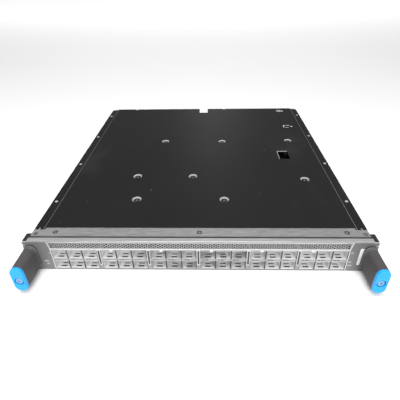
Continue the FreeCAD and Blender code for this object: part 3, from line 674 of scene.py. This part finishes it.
# %% One finish for every slot
finishes = {
    "cover_black": powder_coat(),
    "front_rail_metal": front_rail(),
    "bright_face_steel": face_sheet(),
    "cage_steel": cage_sheet(),
    "tray_steel": moulded("black_tray_coat", 0.012, 0.019, 0.48, 1400.0, 0.25),
    "screw_steel": rolled_metal("bright_screw_steel", 0.5, 0.68, 0.3, 0.9, EVEN, 500.0),
    "pin_steel": rolled_metal("turned_pin_steel", 0.45, 0.66, 0.28, 0.9, (1, 1, 6), 300.0),
    "post_steel": rolled_metal("plain_post_steel", 0.36, 0.5, 0.4, 0.85, (1, 1, 8), 120.0),
    "guide_metal": rolled_metal("cast_guide_metal", 0.3, 0.42, 0.5, 0.8, EVEN, 200.0),
    "heat_sink_aluminium": rolled_metal(
        "extruded_aluminium", 0.55, 0.68, 0.42, 0.85, (20, 1, 20)),
    "overlay_grey": end_facing(),
    "circuit_board": circuit_board(),
    "gasket_foam": moulded("dark_gasket_weave", 0.012, 0.03, 0.8, 2500.0),
    "black_plastic": moulded("black_moulding", 0.012, 0.02, 0.5),
    "connector_plastic": moulded("connector_moulding", 0.018, 0.03, 0.45, 500.0),
    "chip_package": moulded("chip_package_resin", 0.02, 0.03, 0.55, 1500.0),
    "module_case": moulded("power_module_resin", 0.03, 0.045, 0.5, 800.0),
    "lever_black": moulded("cast_lever_paint", 0.035, 0.055, 0.42, 600.0),
    "grip_dark": moulded(
        "dark_grip_rubber", tone(0.060, 0.057, 0.056), tone(0.082, 0.079, 0.078),
        0.6, 1100.0, 0.3),
    "cap_blue": blue_cap(),
}
dull_pin_end = rolled_metal("dull_pin_end", 0.2, 0.34, 0.4, 0.5, EVEN, 200.0)
own_finish = {
    "vent_grille": rolled_metal("punched_grille_steel", 0.4, 0.56, 0.45, 0.2),
    "port_divider_bars": rolled_metal("white_zinc_bars", 0.46, 0.6, 0.4, 0.2, (20, 20, 1)),
    "left_pivot_pin": dull_pin_end,
    "right_pivot_pin": dull_pin_end,
}
for part in frame["record"]["subparts"]:
    solid = frame["nodes"][part["node"]]
    solid.data.materials.clear()
    finish = own_finish.get(part["node"], finishes[part["material_slot"]])
    solid.data.materials.append(finish.material)
print("finishes:", len(finishes), "and", len(own_finish), "nodes with one of their own")

# %% [markdown]
# ## How a new piece is finished
# Each new piece says which body it moves with, which slot it is of, and what it stands for.
# Its place is written into its mesh, so the object sits at the origin, as the solids do.

# %% Finish a piece
FORWARD = (math.pi / 2, 0, 0)  # turns a piece that faces up so that it faces forward


def settle(piece, name, body, slot, stands_for=None, finish=None, smooth=40):
    """Names and cleans a piece, gives it its finish and body, and hides the solid it stands for.
    The slot picks the finish when none is given.
    """
    select_only(piece)
    named(name)
    bpy.ops.object.transform_apply(location=True, rotation=True, scale=True)
    with editing(piece):
        pick_all()
        bpy.ops.mesh.remove_doubles(threshold=0.000002)
        bpy.ops.mesh.normals_make_consistent(inside=False)
    bpy.ops.object.shade_smooth_by_angle(angle=math.radians(smooth))
    piece.data.materials.clear()
    piece.data.materials.append((finish or finishes[slot]).material)
    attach(piece, body)
    if stands_for:
        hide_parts(stands_for)


def copies(template, spots, each_turn=0.0):
    """Copies of a template at each spot, joined to one piece. It uses up the template."""
    made = []
    for count, spot in enumerate(spots):
        twin = template.copy()
        twin.data = template.data.copy()
        link(twin)
        twin.rotation_euler.rotate_axis("Z", each_turn * count)
        twin.location = spot
        made.append(twin)
    bpy.data.objects.remove(template)
    return joined(made)


def face_forward(piece):
    """Turns a piece forward before it is copied, since a copy turns about its own axis."""
    piece.rotation_euler = FORWARD
    select_only(piece)
    bpy.ops.object.transform_apply(location=False, rotation=True, scale=False)
    return piece


print("a piece is settled in one call")

# %% [markdown]
# ## Screws with a star drive
# The screws of such a card are small, low and bright, with a six-pointed socket.
# We start from a short drum of 24 sides. Its top face is inset, and three corners out of four
# of that inner ring are drawn in towards the axis, which leaves six points.
# Then the star goes down. One screw is made at the origin, upright, and copied to every place
# that the solids give.

# %% Model one screw
SCREW_SIDES = 24
DOME = 1.16  # a head is this much higher than its rim
SHOULDER = 0.82  # the dome's flat top, as a share of the head's radius


def star_screw(radius, height, shank_radius=0.0, shank=0.0, star=0.46):
    """An upright screw with z = 0 halfway up the side of its head."""
    bpy.ops.object.select_all(action="DESELECT")
    bpy.ops.mesh.primitive_cylinder_add(
        vertices=SCREW_SIDES, radius=radius, depth=height, location=(0, 0, height / 2))
    screw = named("star_screw")
    ring = radius * star
    near = lambda v: v.co.z > height / 2 - 1e-6 and abs(v.co.xy.length - ring) < radius * 0.03
    step_of = lambda v: round(math.atan2(v.co.y, v.co.x) / (2 * math.pi) * SCREW_SIDES)
    at_axis = lambda f: f.calc_center_median().xy.length < radius * 0.02
    with editing(screw):
        pick(screw, lambda f: f.normal.z > 0.9)
        bpy.ops.mesh.inset(thickness=radius * (1 - SHOULDER))
        bpy.ops.transform.translate(value=(0, 0, height * (DOME - 1)))
        bpy.ops.mesh.inset(thickness=radius * (SHOULDER - star))
        pick(screw, lambda v: near(v) and step_of(v) % 4 != 0, "VERT")
        bpy.ops.transform.resize(value=(0.76, 0.76, 1), center_override=(0, 0, 0))
        pick(screw, lambda f: f.normal.z > 0.9 and at_axis(f))
        pull(0, 0, -height * 0.7)
        bpy.ops.transform.resize(value=(0.85, 0.85, 1), center_override=(0, 0, 0))
        if shank:
            pick(screw, lambda f: f.normal.z < -0.9 and f.calc_center_median().z < 0)
            bpy.ops.mesh.inset(thickness=radius - shank_radius)
            pull(0, 0, -shank)
    return screw


print("a star has", SCREW_SIDES // 4, "points")

# %% Screws on the cover and in the shelf
HEAD = 0.00085  # height of the head's side
SUNK = 0.0010  # from the top of the solid's drum down to the middle of the head's side
EACH_TURN = math.radians(23)  # no two screws stop at the same angle


def heads_up(name, boxes, stands_for, finish, rise=0.0, star=0.46):
    """Star screws in place of upright drums."""
    low, high = boxes[0]
    screw = star_screw((high.x - low.x) / 2, HEAD, star=star)
    placed = copies(screw, tops(boxes, rise - SUNK), EACH_TURN)
    settle(placed, name, "card", "screw_steel", stands_for, finish)


bright_head = rolled_metal("bright_head_steel", 0.5, 0.68, 0.42, 0.45, EVEN, 500.0)
rail_screws = solids_of("rail_screws")
heads_up(
    "dimple_star_screws", dimple_screws, "cover_dimple_screws", finishes["screw_steel"], star=0.3)
heads_up("strip_star_screws", side_screws, "cover_side_screws", bright_head, 0.0002)
heads_up("rail_star_screws", rail_screws, "rail_screws", dull_pin_end)
print("screws:", len(dimple_screws), "in dimples,", len(side_screws), "on the strips")

# %% [markdown]
# ## Rounded dimples
# A dimple is pressed into the cover with a round punch, so its wall flows in one soft curve.
# The solids draw it as a cone with ten flats. We line each one with a smooth cup, made by
# spinning a short profile about the dimple's axis. The cup stays inside the flats and hides them.

# %% Spin a cup for each dimple
CUP = ((0.0027, -0.00245), (0.0038, -0.00238), (0.0046, -0.0020), (0.0058, -0.0010),
       (0.0067, -0.0004), (0.0075, -0.00008), (0.0080, 0.00006), (0.0085, 0.00003))
SPIN_STEPS = 48


def spun(name, profile):
    """A round shell: a chain of (radius, height) corners, turned once about the upright axis."""
    bpy.ops.object.select_all(action="DESELECT")
    bpy.ops.mesh.primitive_plane_add(size=0.001, location=(0, 0, 0))
    shell = named(name)
    with editing(shell):
        pick(shell, lambda v: v.co.x > 0 or v.co.y > 0, "VERT")
        bpy.ops.mesh.delete(type="VERT")
        pick(shell, lambda v: True, "VERT")
        cage = bmesh.from_edit_mesh(shell.data)
        cage.verts.ensure_lookup_table()
        cage.verts[0].co = (profile[0][0], 0, profile[0][1])
        bmesh.update_edit_mesh(shell.data)
        for (r0, z0), (r1, z1) in zip(profile, profile[1:]):
            pull(r1 - r0, 0, z1 - z0)
        pick_all()
        bpy.ops.mesh.spin(
            steps=SPIN_STEPS, angle=2 * math.pi, center=(0, 0, 0), axis=(0, 0, 1))
        pick_all()
        bpy.ops.mesh.remove_doubles(threshold=0.00001)
    return shell


cups = copies(spun("dimple_cup", CUP), [(x, y, COVER_TOP) for x, y, z in tops(dimple_screws)])
# The cups get the coat with their walls painted lighter, as a painted highlight.
cup_coat_lit_walls = powder_coat("pressed_black_coat", 0.1, 0.45, 0.34)
settle(cups, "rounded_dimple_cups", "card", "cover_black", finish=cup_coat_lit_walls, smooth=60)
print("dimples lined:", len(dimple_screws))

# %% [markdown]
# A flush screw in a rail shows as a dark ring: the shadow in the gap between head and hole.
# The same spun shell, made nearly flat, gives that ring. The pivot pins get a narrower one,
# and so does each dimple's screw, which sits on a thin black washer.

# %% Shadow rings and black washers
pins = [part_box("left_pivot_pin"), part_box("right_pivot_pin")]
RINGS = (
    ("rail_screw_gap_rings", rail_screws, 0.0020, 0.0031, 0.00006, "front_rail_metal"),
    ("pivot_pin_gap_rings", pins, 0.0015, 0.0025, 0.00006, "front_rail_metal"),
    ("dimple_black_washers", dimple_screws, 0.0016, 0.0040, 0.00008, "black_plastic"))
for name, boxes, inner, outer, height, slot in RINGS:
    profile = ((inner, height), (inner + 0.0001, height * 1.6), (outer, height))
    rings = copies(spun("ring", profile), tops(boxes))
    settle(rings, name, "card", slot, finish=finishes["black_plastic"])
    print(name, len(boxes))

# %% [markdown]
# ## The two ejector handles
# Each handle is a flat bar with round ends: a collar of two steps against the face, then a dark
# grip, then a blue cap with a recess for the captive screw.
# A bar with round ends is a circle pulled apart: we add a circle, and move its upper half up and
# its lower half down. The steps come from extrude and inset.

# %% A bar with round ends
GRIP_LOW, GRIP_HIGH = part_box("right_grip")
GRIP_WIDE = GRIP_HIGH.x - GRIP_LOW.x
GRIP_TALL = GRIP_HIGH.z - GRIP_LOW.z
HANDLE_MID = (GRIP_LOW + GRIP_HIGH) / 2
ROUND_CORNERS = 56


def round_bar(name, width, height, y, fill="NGON"):
    """An upright outline with round ends, facing forward at the depth y."""
    bpy.ops.object.select_all(action="DESELECT")
    bpy.ops.mesh.primitive_circle_add(
        vertices=ROUND_CORNERS, radius=width / 2, fill_type=fill, location=(0, 0, 0))
    bar = named(name)
    with editing(bar):
        pick_all()
        turn(math.pi / ROUND_CORNERS, "Z")
        turn(math.pi / 2, "X")
        turned = bmesh.from_edit_mesh(bar.data)
        for corner in turned.verts:
            corner.co.y = y
        pick(bar, lambda v: v.co.z > 0, "VERT")
        bpy.ops.transform.translate(value=(0, 0, (height - width) / 2))
        pick(bar, lambda v: v.co.z < 0, "VERT")
        bpy.ops.transform.translate(value=(0, 0, (width - height) / 2))
    return bar


print("handles are", mm(GRIP_WIDE), "mm wide and", mm(GRIP_TALL), "mm tall")

# %% [markdown]
# ### Collar and backing
# The collar's steps are painted dark, and their front edges get a painted highlight, a light
# line.
# Behind the collar a thin plate closes the gap in the face that the lever needs for its swing.
# It moves with the lever, so the gap opens when the lever does.

# %% A flat piece, and the collar's paint
LEVER_LOW, LEVER_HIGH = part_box("right_lever")
LEVER_MID = (LEVER_LOW + LEVER_HIGH) / 2
COLLAR_STEP = (LEVER_HIGH.z - GRIP_HIGH.z) / 2
COLLAR_DEEP = 0.0024
COLLAR_BACK = GRIP_HIGH.y + 2 * COLLAR_DEEP


def flat_piece(name, wide, deep, rounded=0.0, segments=4, thick=0.0):
    """A rectangle at the origin, facing up. It can have round corners and a thickness."""
    bpy.ops.object.select_all(action="DESELECT")
    bpy.ops.mesh.primitive_plane_add(size=1, location=(0, 0, 0))
    piece = named(name)
    with editing(piece):
        pick_all()
        bpy.ops.transform.resize(value=(wide, deep, 1))
        if rounded:
            bpy.ops.mesh.bevel(offset=rounded, segments=segments, affect="VERTICES")
            pick_all()
        if thick:
            pull(0, 0, thick)
    return piece


def collar_paint():
    """Dark paint, with a painted highlight along the front edge of each step."""
    paint = Finish("collar_paint")
    depth = paint.axis(1)
    grain = paint.noise(700, 2)
    step_highlights = 0.0
    # Each step's front edge is painted light: a painted highlight.
    for step in (1, 2):
        edge = COLLAR_BACK - step * COLLAR_DEEP + 0.00015
        step_highlights = paint.under(abs(depth - edge), 0.0002, 0.0004) + step_highlights
    dark = paint.blend(paint.noise(40, 3), 0.028, 0.04)
    paint.set("Base Color", paint.blend(step_highlights * 0.9, dark, 0.26))
    paint.set("Specular IOR Level", 0.3)
    paint.relief(grain, 0.00003)
    return paint


collar_coat = collar_paint()
print("each step of the collar is", mm(COLLAR_STEP), "mm wide")

# %% Collar and backing
BACKING_THICK = 0.00024
BACKING_INNER = HANDLE_MID.x - 0.0062
BACKING_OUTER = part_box("faceplate")[1].x - 0.0002


def rim_edges(y):
    """The sharp edges at one depth."""
    at_depth = lambda e: all(abs(v.co.y - y) < 1e-5 for v in e.verts)
    return lambda e: at_depth(e) and len(e.link_faces) == 2 and e.calc_face_angle(0) > 0.7


def collar(side, name, body):
    """Two steps round the root of the grip."""
    grown = 4 * COLLAR_STEP + 0.00008
    ring = round_bar(name, GRIP_WIDE + grown, GRIP_TALL + grown, COLLAR_BACK)
    with editing(ring):
        pick_all()
        pull(0, -COLLAR_DEEP, 0)
        bpy.ops.mesh.inset(thickness=COLLAR_STEP)
        pull(0, -COLLAR_DEEP, 0)
        for step in (1, 2):
            pick(ring, rim_edges(COLLAR_BACK - step * COLLAR_DEEP), "EDGE")
            bpy.ops.mesh.bevel(offset=0.00022, segments=2, affect="EDGES")
    ring.location = (side * HANDLE_MID.x, 0, HANDLE_MID.z)
    settle(ring, name, body, "lever_black", finish=collar_coat)


def backing(side, name, body):
    """A grey plate behind the collar that closes the lever's gap in the face."""
    wide, tall = BACKING_OUTER - BACKING_INNER, LEVER_HIGH.z - LEVER_LOW.z
    plate = flat_piece(name, wide, tall, 0.0008, 3, BACKING_THICK)
    plate.rotation_euler = FORWARD
    across = side * (BACKING_INNER + BACKING_OUTER) / 2
    plate.location = (across, COLLAR_BACK + BACKING_THICK + 0.00002, LEVER_MID.z)
    settle(plate, name, body, "lever_black", finish=finishes["overlay_grey"])


print("the backing is", mm(BACKING_OUTER - BACKING_INNER), "mm wide")

# %% [markdown]
# ### Grip, cap and captive screw
# The lever's core fills the grip, so the grip is a tube: both ends of the bar are inset, and
# the inner faces are bridged. The cap's front is bridged from its outline to the round recess.
# Its outer edge gets a wide bevel and the recess a small one.

# %% Grip, cap and captive screw
def grip(side, name, body, stands_for):
    """The dark sleeve."""
    sleeve = round_bar(name, GRIP_WIDE, GRIP_TALL, GRIP_HIGH.y)
    with editing(sleeve):
        pick_all()
        pull(0, GRIP_LOW.y - GRIP_HIGH.y, 0)
        pick(sleeve, lambda f: abs(f.normal.y) > 0.9 and len(f.verts) > 4)
        bpy.ops.mesh.inset(thickness=0.0018)
        bpy.ops.mesh.bridge_edge_loops()
    sleeve.location = (side * HANDLE_MID.x, 0, HANDLE_MID.z)
    settle(sleeve, name, body, "grip_dark", stands_for)


def cap(side, name, body, recess_z, stands_for):
    """The blue end: soft outer edge, and a round recess through it."""
    shell = round_bar(name, GRIP_WIDE, GRIP_TALL, CAP_LOW.y, "NOTHING")
    beside = RECESS_RADIUS * 1.03
    outer = lambda v: abs(v.co.x) > beside or abs(v.co.z - recess_z) > beside
    at_front = lambda e: all(abs(v.co.y - CAP_LOW.y) < 1e-6 for v in e.verts)
    front = lambda e: at_front(e) and e.calc_face_angle(0) > 1
    with editing(shell):
        bpy.ops.mesh.primitive_circle_add(
            vertices=ROUND_CORNERS, radius=RECESS_RADIUS, location=(0, CAP_LOW.y, recess_z),
            rotation=(math.pi / 2, math.pi / ROUND_CORNERS, 0))
        pick_all()
        bpy.ops.mesh.bridge_edge_loops()
        pick_all()
        pull(0, CAP_HIGH.y - CAP_LOW.y, 0)
        pick(shell, lambda e: front(e) and all(outer(v) for v in e.verts), "EDGE")
        bpy.ops.mesh.bevel(offset=0.0015, segments=5, affect="EDGES")
        pick(shell, lambda e: front(e) and not any(outer(v) for v in e.verts), "EDGE")
        bpy.ops.mesh.bevel(offset=0.0007, segments=3, affect="EDGES")
    shell.location = (side * HANDLE_MID.x, 0, HANDLE_MID.z)
    settle(shell, name, body, "cap_blue", stands_for)


CAPTIVE_HEAD = 0.0026
CAPTIVE_SHANK_RADIUS = 0.002


def captive(name, body, node):
    """The captive screw: a star head and its long smooth shank, lying along the depth."""
    low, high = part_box(node)
    drum = CAPTIVE_HEAD / DOME
    shank = high.y - low.y - CAPTIVE_HEAD
    screw = star_screw((high.x - low.x) / 2, drum, CAPTIVE_SHANK_RADIUS, shank, 0.5)
    screw.rotation_euler = FORWARD
    screw.location = middle_of((low, high))
    screw.location.y = low.y + CAPTIVE_HEAD - drum / 2
    settle(screw, name, body, "pin_steel", node, blue_lit_head)


blue_lit_head = moulded(
    "blue_lit_screw_head", tone(0.13, 0.31, 0.52), tone(0.25, 0.45, 0.66), 0.4, 500.0)
for side, word in ((-1, "left"), (1, "right")):
    body = word + "_lever_body"
    screw_node = word + "_captive_screw"
    recess_z = middle_of(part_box(screw_node)).z - HANDLE_MID.z
    collar(side, word + "_stepped_collar", body)
    backing(side, word + "_collar_backing", body)
    grip(side, word + "_grip_sleeve", body, word + "_grip")
    cap(side, word + "_blue_cap", body, recess_z, word + "_grip_cap")
    captive(word + "_captive_star_screw", word + "_screw_body", screw_node)
print("the recess is", mm(-recess_z), "mm under the middle of the handle")

# %% [markdown]
# ## Inside the ports
# The floor of each port has a window, and a sprung tongue crosses it to press on the plug.
# A dark strip lies over the gap between the walls of neighbouring ports: a painted shadow for the
# shade in that gap.
# Both are small and repeat many times, so each is modelled once with few faces and copied.

# %% Where the ports are
sockets = solids_of("upper_port_sockets")
PORT_PITCH = sockets[1][0].x - sockets[0][0].x


def cages_of(row):
    return [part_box(row + "_cage_" + str(number)) for number in range(1, 7)]


def port_mouths(row):
    """Middle and floor height of every port in a row, three to a cage."""
    steps = (-PORT_PITCH, 0, PORT_PITCH)
    return [(middle_of(cage).x + step, cage[0].z) for cage in cages_of(row) for step in steps]


CAGE_LOW, CAGE_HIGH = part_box("upper_cage_1")
mouths = port_mouths("upper") + port_mouths("lower")
print("ports:", len(mouths), "at a pitch of", mm(PORT_PITCH), "mm")

# %% Tongues in the floor windows
TONGUE_WIDE, TONGUE_LONG, TONGUE_TALL = 0.0074, 0.0026, 0.0006
TONGUE_IN = 0.0065  # from the mouth to the middle of the tongue


def small_block(name, wide, deep, tall, rounded=0.00012):
    """A block standing on z = 0 with its upper edges cut off at a slant."""
    block = flat_piece(name, wide, deep)
    with editing(block):
        pick_all()
        pull(0, 0, tall)
        pick(block, lambda e: all(v.co.z > tall * 0.99 for v in e.verts), "EDGE")
        bpy.ops.mesh.bevel(offset=rounded, segments=1, affect="EDGES")
    return block


tongue = small_block("port_floor_tongue", TONGUE_WIDE, TONGUE_LONG, TONGUE_TALL, 0.00025)
tongues = copies(tongue, [(x, CAGE_LOW.y + TONGUE_IN, z + 0.00005) for x, z in mouths])
settle(tongues, "port_floor_tongues", "card", "cage_steel")
print("tongues:", len(mouths))

# %% Painted shadows between the ports and in the slots of the divider bars
# Black strips over the gaps between ports stand for the shade there: painted shadows.
SHADOW_STRIP_WIDE, SHADOW_STRIP_THICK = 0.0019, 0.00016
SHADOW_STRIP_TALL = CAGE_HIGH.z - CAGE_LOW.z
seams = [(x - PORT_PITCH / 2, z) for x, z in mouths]
seams += [(high.x + 0.0002, low.z) for row in ("upper", "lower") for low, high in cages_of(row)]
shadow_strip = face_forward(small_block("gap_shadow_strip", SHADOW_STRIP_WIDE, SHADOW_STRIP_TALL, SHADOW_STRIP_THICK))
shadow_strips = copies(shadow_strip, [(x, CAGE_LOW.y + 0.00004, z + SHADOW_STRIP_TALL / 2) for x, z in seams])
settle(shadow_strips, "port_gap_shadow_strips", "card", "black_plastic")

bars = solids_of("port_divider_bars")
BAR_RIM = 0.0016
slot_tall = bars[0][1].z - bars[0][0].z - 2 * BAR_RIM
# Each slot of a divider bar gets a dark grey plate: painted shade in the slot.
slot_shadow = face_forward(small_block("slot_shadow_plate", 0.0025, slot_tall, 0.0001))
slots = [(middle_of(bar).x, bar[0].y + 0.00005, middle_of(bar).z) for bar in bars]
slot_shadow_grey = moulded("shadow_grey_lining", 0.03, 0.05, 0.6)
settle(copies(slot_shadow, slots), "divider_slot_shadows", "card", "black_plastic", finish=slot_shadow_grey)
print("seals:", len(seams), "slot_shadows:", len(slots))

# %% [markdown]
# ## A fine honeycomb for the vent
# The solids draw the vent with two rows of wide holes, which is plenty for a simulation.
# The real one is finer: small six-sided holes in columns, with every second column half a hole
# lower. One flat cell is a hexagon whose middle is cut away. Cells with the right pitch share
# their edges, so merging the corners makes one sheet. It is trimmed to the window, then given
# its thickness.

# %% Punch the honeycomb
GRILLE_LOW, GRILLE_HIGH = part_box("vent_grille")
GRILLE_MID = (GRILLE_LOW + GRILLE_HIGH) / 2
CELL_RADIUS = 0.00187
CELL_WEB = 0.00027
CELL_ACROSS = 1.5 * CELL_RADIUS
CELL_UP = math.sqrt(3) * CELL_RADIUS
bpy.ops.object.select_all(action="DESELECT")
bpy.ops.mesh.primitive_circle_add(
    vertices=6, radius=CELL_RADIUS, fill_type="NGON", location=(0, 0, 0))
cell = named("vent_cell")
with editing(cell):
    pick_all()
    turn(math.pi / 2, "Z")
    turn(math.pi / 2, "X")
    bpy.ops.mesh.inset(thickness=CELL_WEB)
    bpy.ops.mesh.delete(type="FACE")
columns = int((GRILLE_HIGH.x - GRILLE_LOW.x) / CELL_ACROSS / 2) + 1
cells = []
for column in range(-columns, columns + 1):
    rows = (-1.5, -0.5, 0.5, 1.5) if column % 2 else (-1, 0, 1)
    cells += [(column * CELL_ACROSS, GRILLE_MID.y, GRILLE_MID.z + row * CELL_UP) for row in rows]
grille = copies(cell, cells)
print("vent cells:", len(cells))

# %% Trim it and give it its thickness
with editing(grille):
    pick_all()
    bpy.ops.mesh.remove_doubles(threshold=0.00001)
    for corner, outward in ((GRILLE_LOW, -1), (GRILLE_HIGH, 1)):
        for way in ((outward, 0, 0), (0, 0, outward)):
            pick_all()
            bpy.ops.mesh.bisect(plane_co=corner, plane_no=way, clear_outer=True)
plate = grille.modifiers.new("thickness", "SOLIDIFY")
plate.thickness = GRILLE_HIGH.y - GRILLE_LOW.y
plate.offset = 0
select_only(grille)
bpy.ops.object.modifier_apply(modifier=plate.name)
vent_steel = own_finish["vent_grille"]
settle(grille, "honeycomb_vent", "card", "bright_face_steel", "vent_grille", vent_steel)
print("faces in the honeycomb:", len(grille.data.polygons))

# %% [markdown]
# ## Bright heads on the face
# Five round heads hold the cages. They are the same star screws, turned to face forward.

# %% Five face screws
fasteners = solids_of("face_fasteners")
low, high = fasteners[0]
fastener = face_forward(star_screw((high.x - low.x) / 2, (high.y - low.y) * 0.86, star=0.4))
spots = [(middle_of(box).x, box[1].y, middle_of(box).z) for box in fasteners]
face_head = rolled_metal("face_head_steel", 0.6, 0.78, 0.45, 0.3, EVEN, 500.0)
heads = copies(fastener, spots)
settle(heads, "face_star_screws", "card", "screw_steel", "face_fasteners", face_head)
print("face screws:", len(spots))

# %% [markdown]
# ## Small print
# The strip between the two rows of ports carries the port numbers, two for each column of ports.
# A text becomes a mesh first, because only a mesh can have its place written into its corners.

# %% Port numbers
STRIP_MID = middle_of(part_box("port_row_strip"))
NUMBER_TALL = 0.0028
NUMBER_LEFT = 0.0035  # the numbers stand this far left of the port's middle


def face_print(words, spot):
    """A word as thin printed ink, facing forward."""
    letters = bpy.data.curves.new("print", "FONT")
    letters.body = words
    letters.size = NUMBER_TALL
    letters.align_x = "CENTER"
    letters.align_y = "CENTER"
    letters.extrude = 0.00001
    letters.offset = 0.00012
    letters.resolution_u = 2
    holder = bpy.data.objects.new("print", letters)
    link(holder)
    select_only(holder)
    bpy.ops.object.convert(target="MESH")
    printed = bpy.context.active_object
    printed.rotation_euler = FORWARD
    printed.location = spot
    bpy.ops.object.transform_apply(location=True, rotation=True, scale=True)
    return printed


numbers = []
for column, (x, z) in enumerate(port_mouths("upper")):
    words = str(2 * column + 1) + "  " + str(2 * column + 2)
    spot = (x - NUMBER_LEFT, FACE_Y - 0.00004, STRIP_MID.z)
    numbers.append(face_print(words, spot))
dark_ink = moulded("dark_printing_ink", 0.01, 0.03, 0.6)
settle(joined(numbers), "port_numbers", "card", "bright_face_steel", finish=dark_ink)
print("numbers printed: 1 to", 2 * len(numbers))

# %% [markdown]
# The face also has a plain pale label and a few short light marks, and the cover has two marks
# of white ink. They stay plain bars with nothing to read.

# %% Blank label and small light marks
white_ink = moulded("white_printing_ink", 0.6, 0.8, 0.6, 1500.0)
label_paper = moulded("blank_label_paper", 0.55, 0.8, 0.55, 400.0)
LABEL = (0.2015, 0.0240, 0.0044)  # middle across, middle up, and width
LABEL_TALL = 0.027
MARK_TALL = 0.0009
MARKS = ((-0.196, 0.0151, 0.0055), (-0.1949, 0.0105, 0.0030), (-0.1891, 0.0288, 0.0016),
         (0.1906, 0.0306, 0.0030), (0.1905, 0.0153, 0.0030), (0.1912, 0.0097, 0.0050))


def on_facing(name, place, tall, thick, rounded):
    """A thin plate with round corners on an end facing."""
    x, z, wide = place
    plate = flat_piece(name, wide, tall, rounded, thick=thick)
    plate.rotation_euler = FORWARD
    plate.location = (x, FACING_LOW.y, z)
    return plate


label = on_facing("blank_label", LABEL, LABEL_TALL, 0.00015, 0.0004)
settle(label, "blank_face_label", "card", "overlay_grey", finish=label_paper)
marks = [on_facing("face_mark", place, MARK_TALL, 0.00008, 0.0002) for place in MARKS]
settle(joined(marks), "small_face_marks", "card", "overlay_grey", finish=white_ink)
print("one label and", len(marks), "marks")

# %% The cover's two marks
MARK_X = 0.1763
REAR_MARK_Y = FACE_Y + 0.4546
FRONT_MARK_Y = FACE_Y + 0.3624
INK_BARS = (  # right of MARK_X, place along the depth, width and depth
    (-0.005, REAR_MARK_Y + 0.004, 0.011, 0.0016),
    (-0.003, REAR_MARK_Y, 0.016, 0.0016),
    (-0.001, REAR_MARK_Y - 0.004, 0.012, 0.0016),
    (-0.009, FRONT_MARK_Y, 0.0015, 0.011),
    (-0.003, FRONT_MARK_Y + 0.0055, 0.013, 0.0015),
    (-0.003, FRONT_MARK_Y - 0.0055, 0.006, 0.0015),
    (0.007, FRONT_MARK_Y, 0.0035, 0.0035))
ink = []
for right, y, wide, deep in INK_BARS:
    bar = flat_piece("ink_bar", wide, deep, min(wide, deep) * 0.3, 2)
    bar.location = (MARK_X + right, y, COVER_TOP + 0.00003)
    ink.append(bar)
settle(joined(ink), "cover_ink_marks", "card", "cover_black", finish=white_ink)
print("bars of ink on the cover:", len(ink))

# %% Size table
boxes = {"cad": solid_box, "visual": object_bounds()}
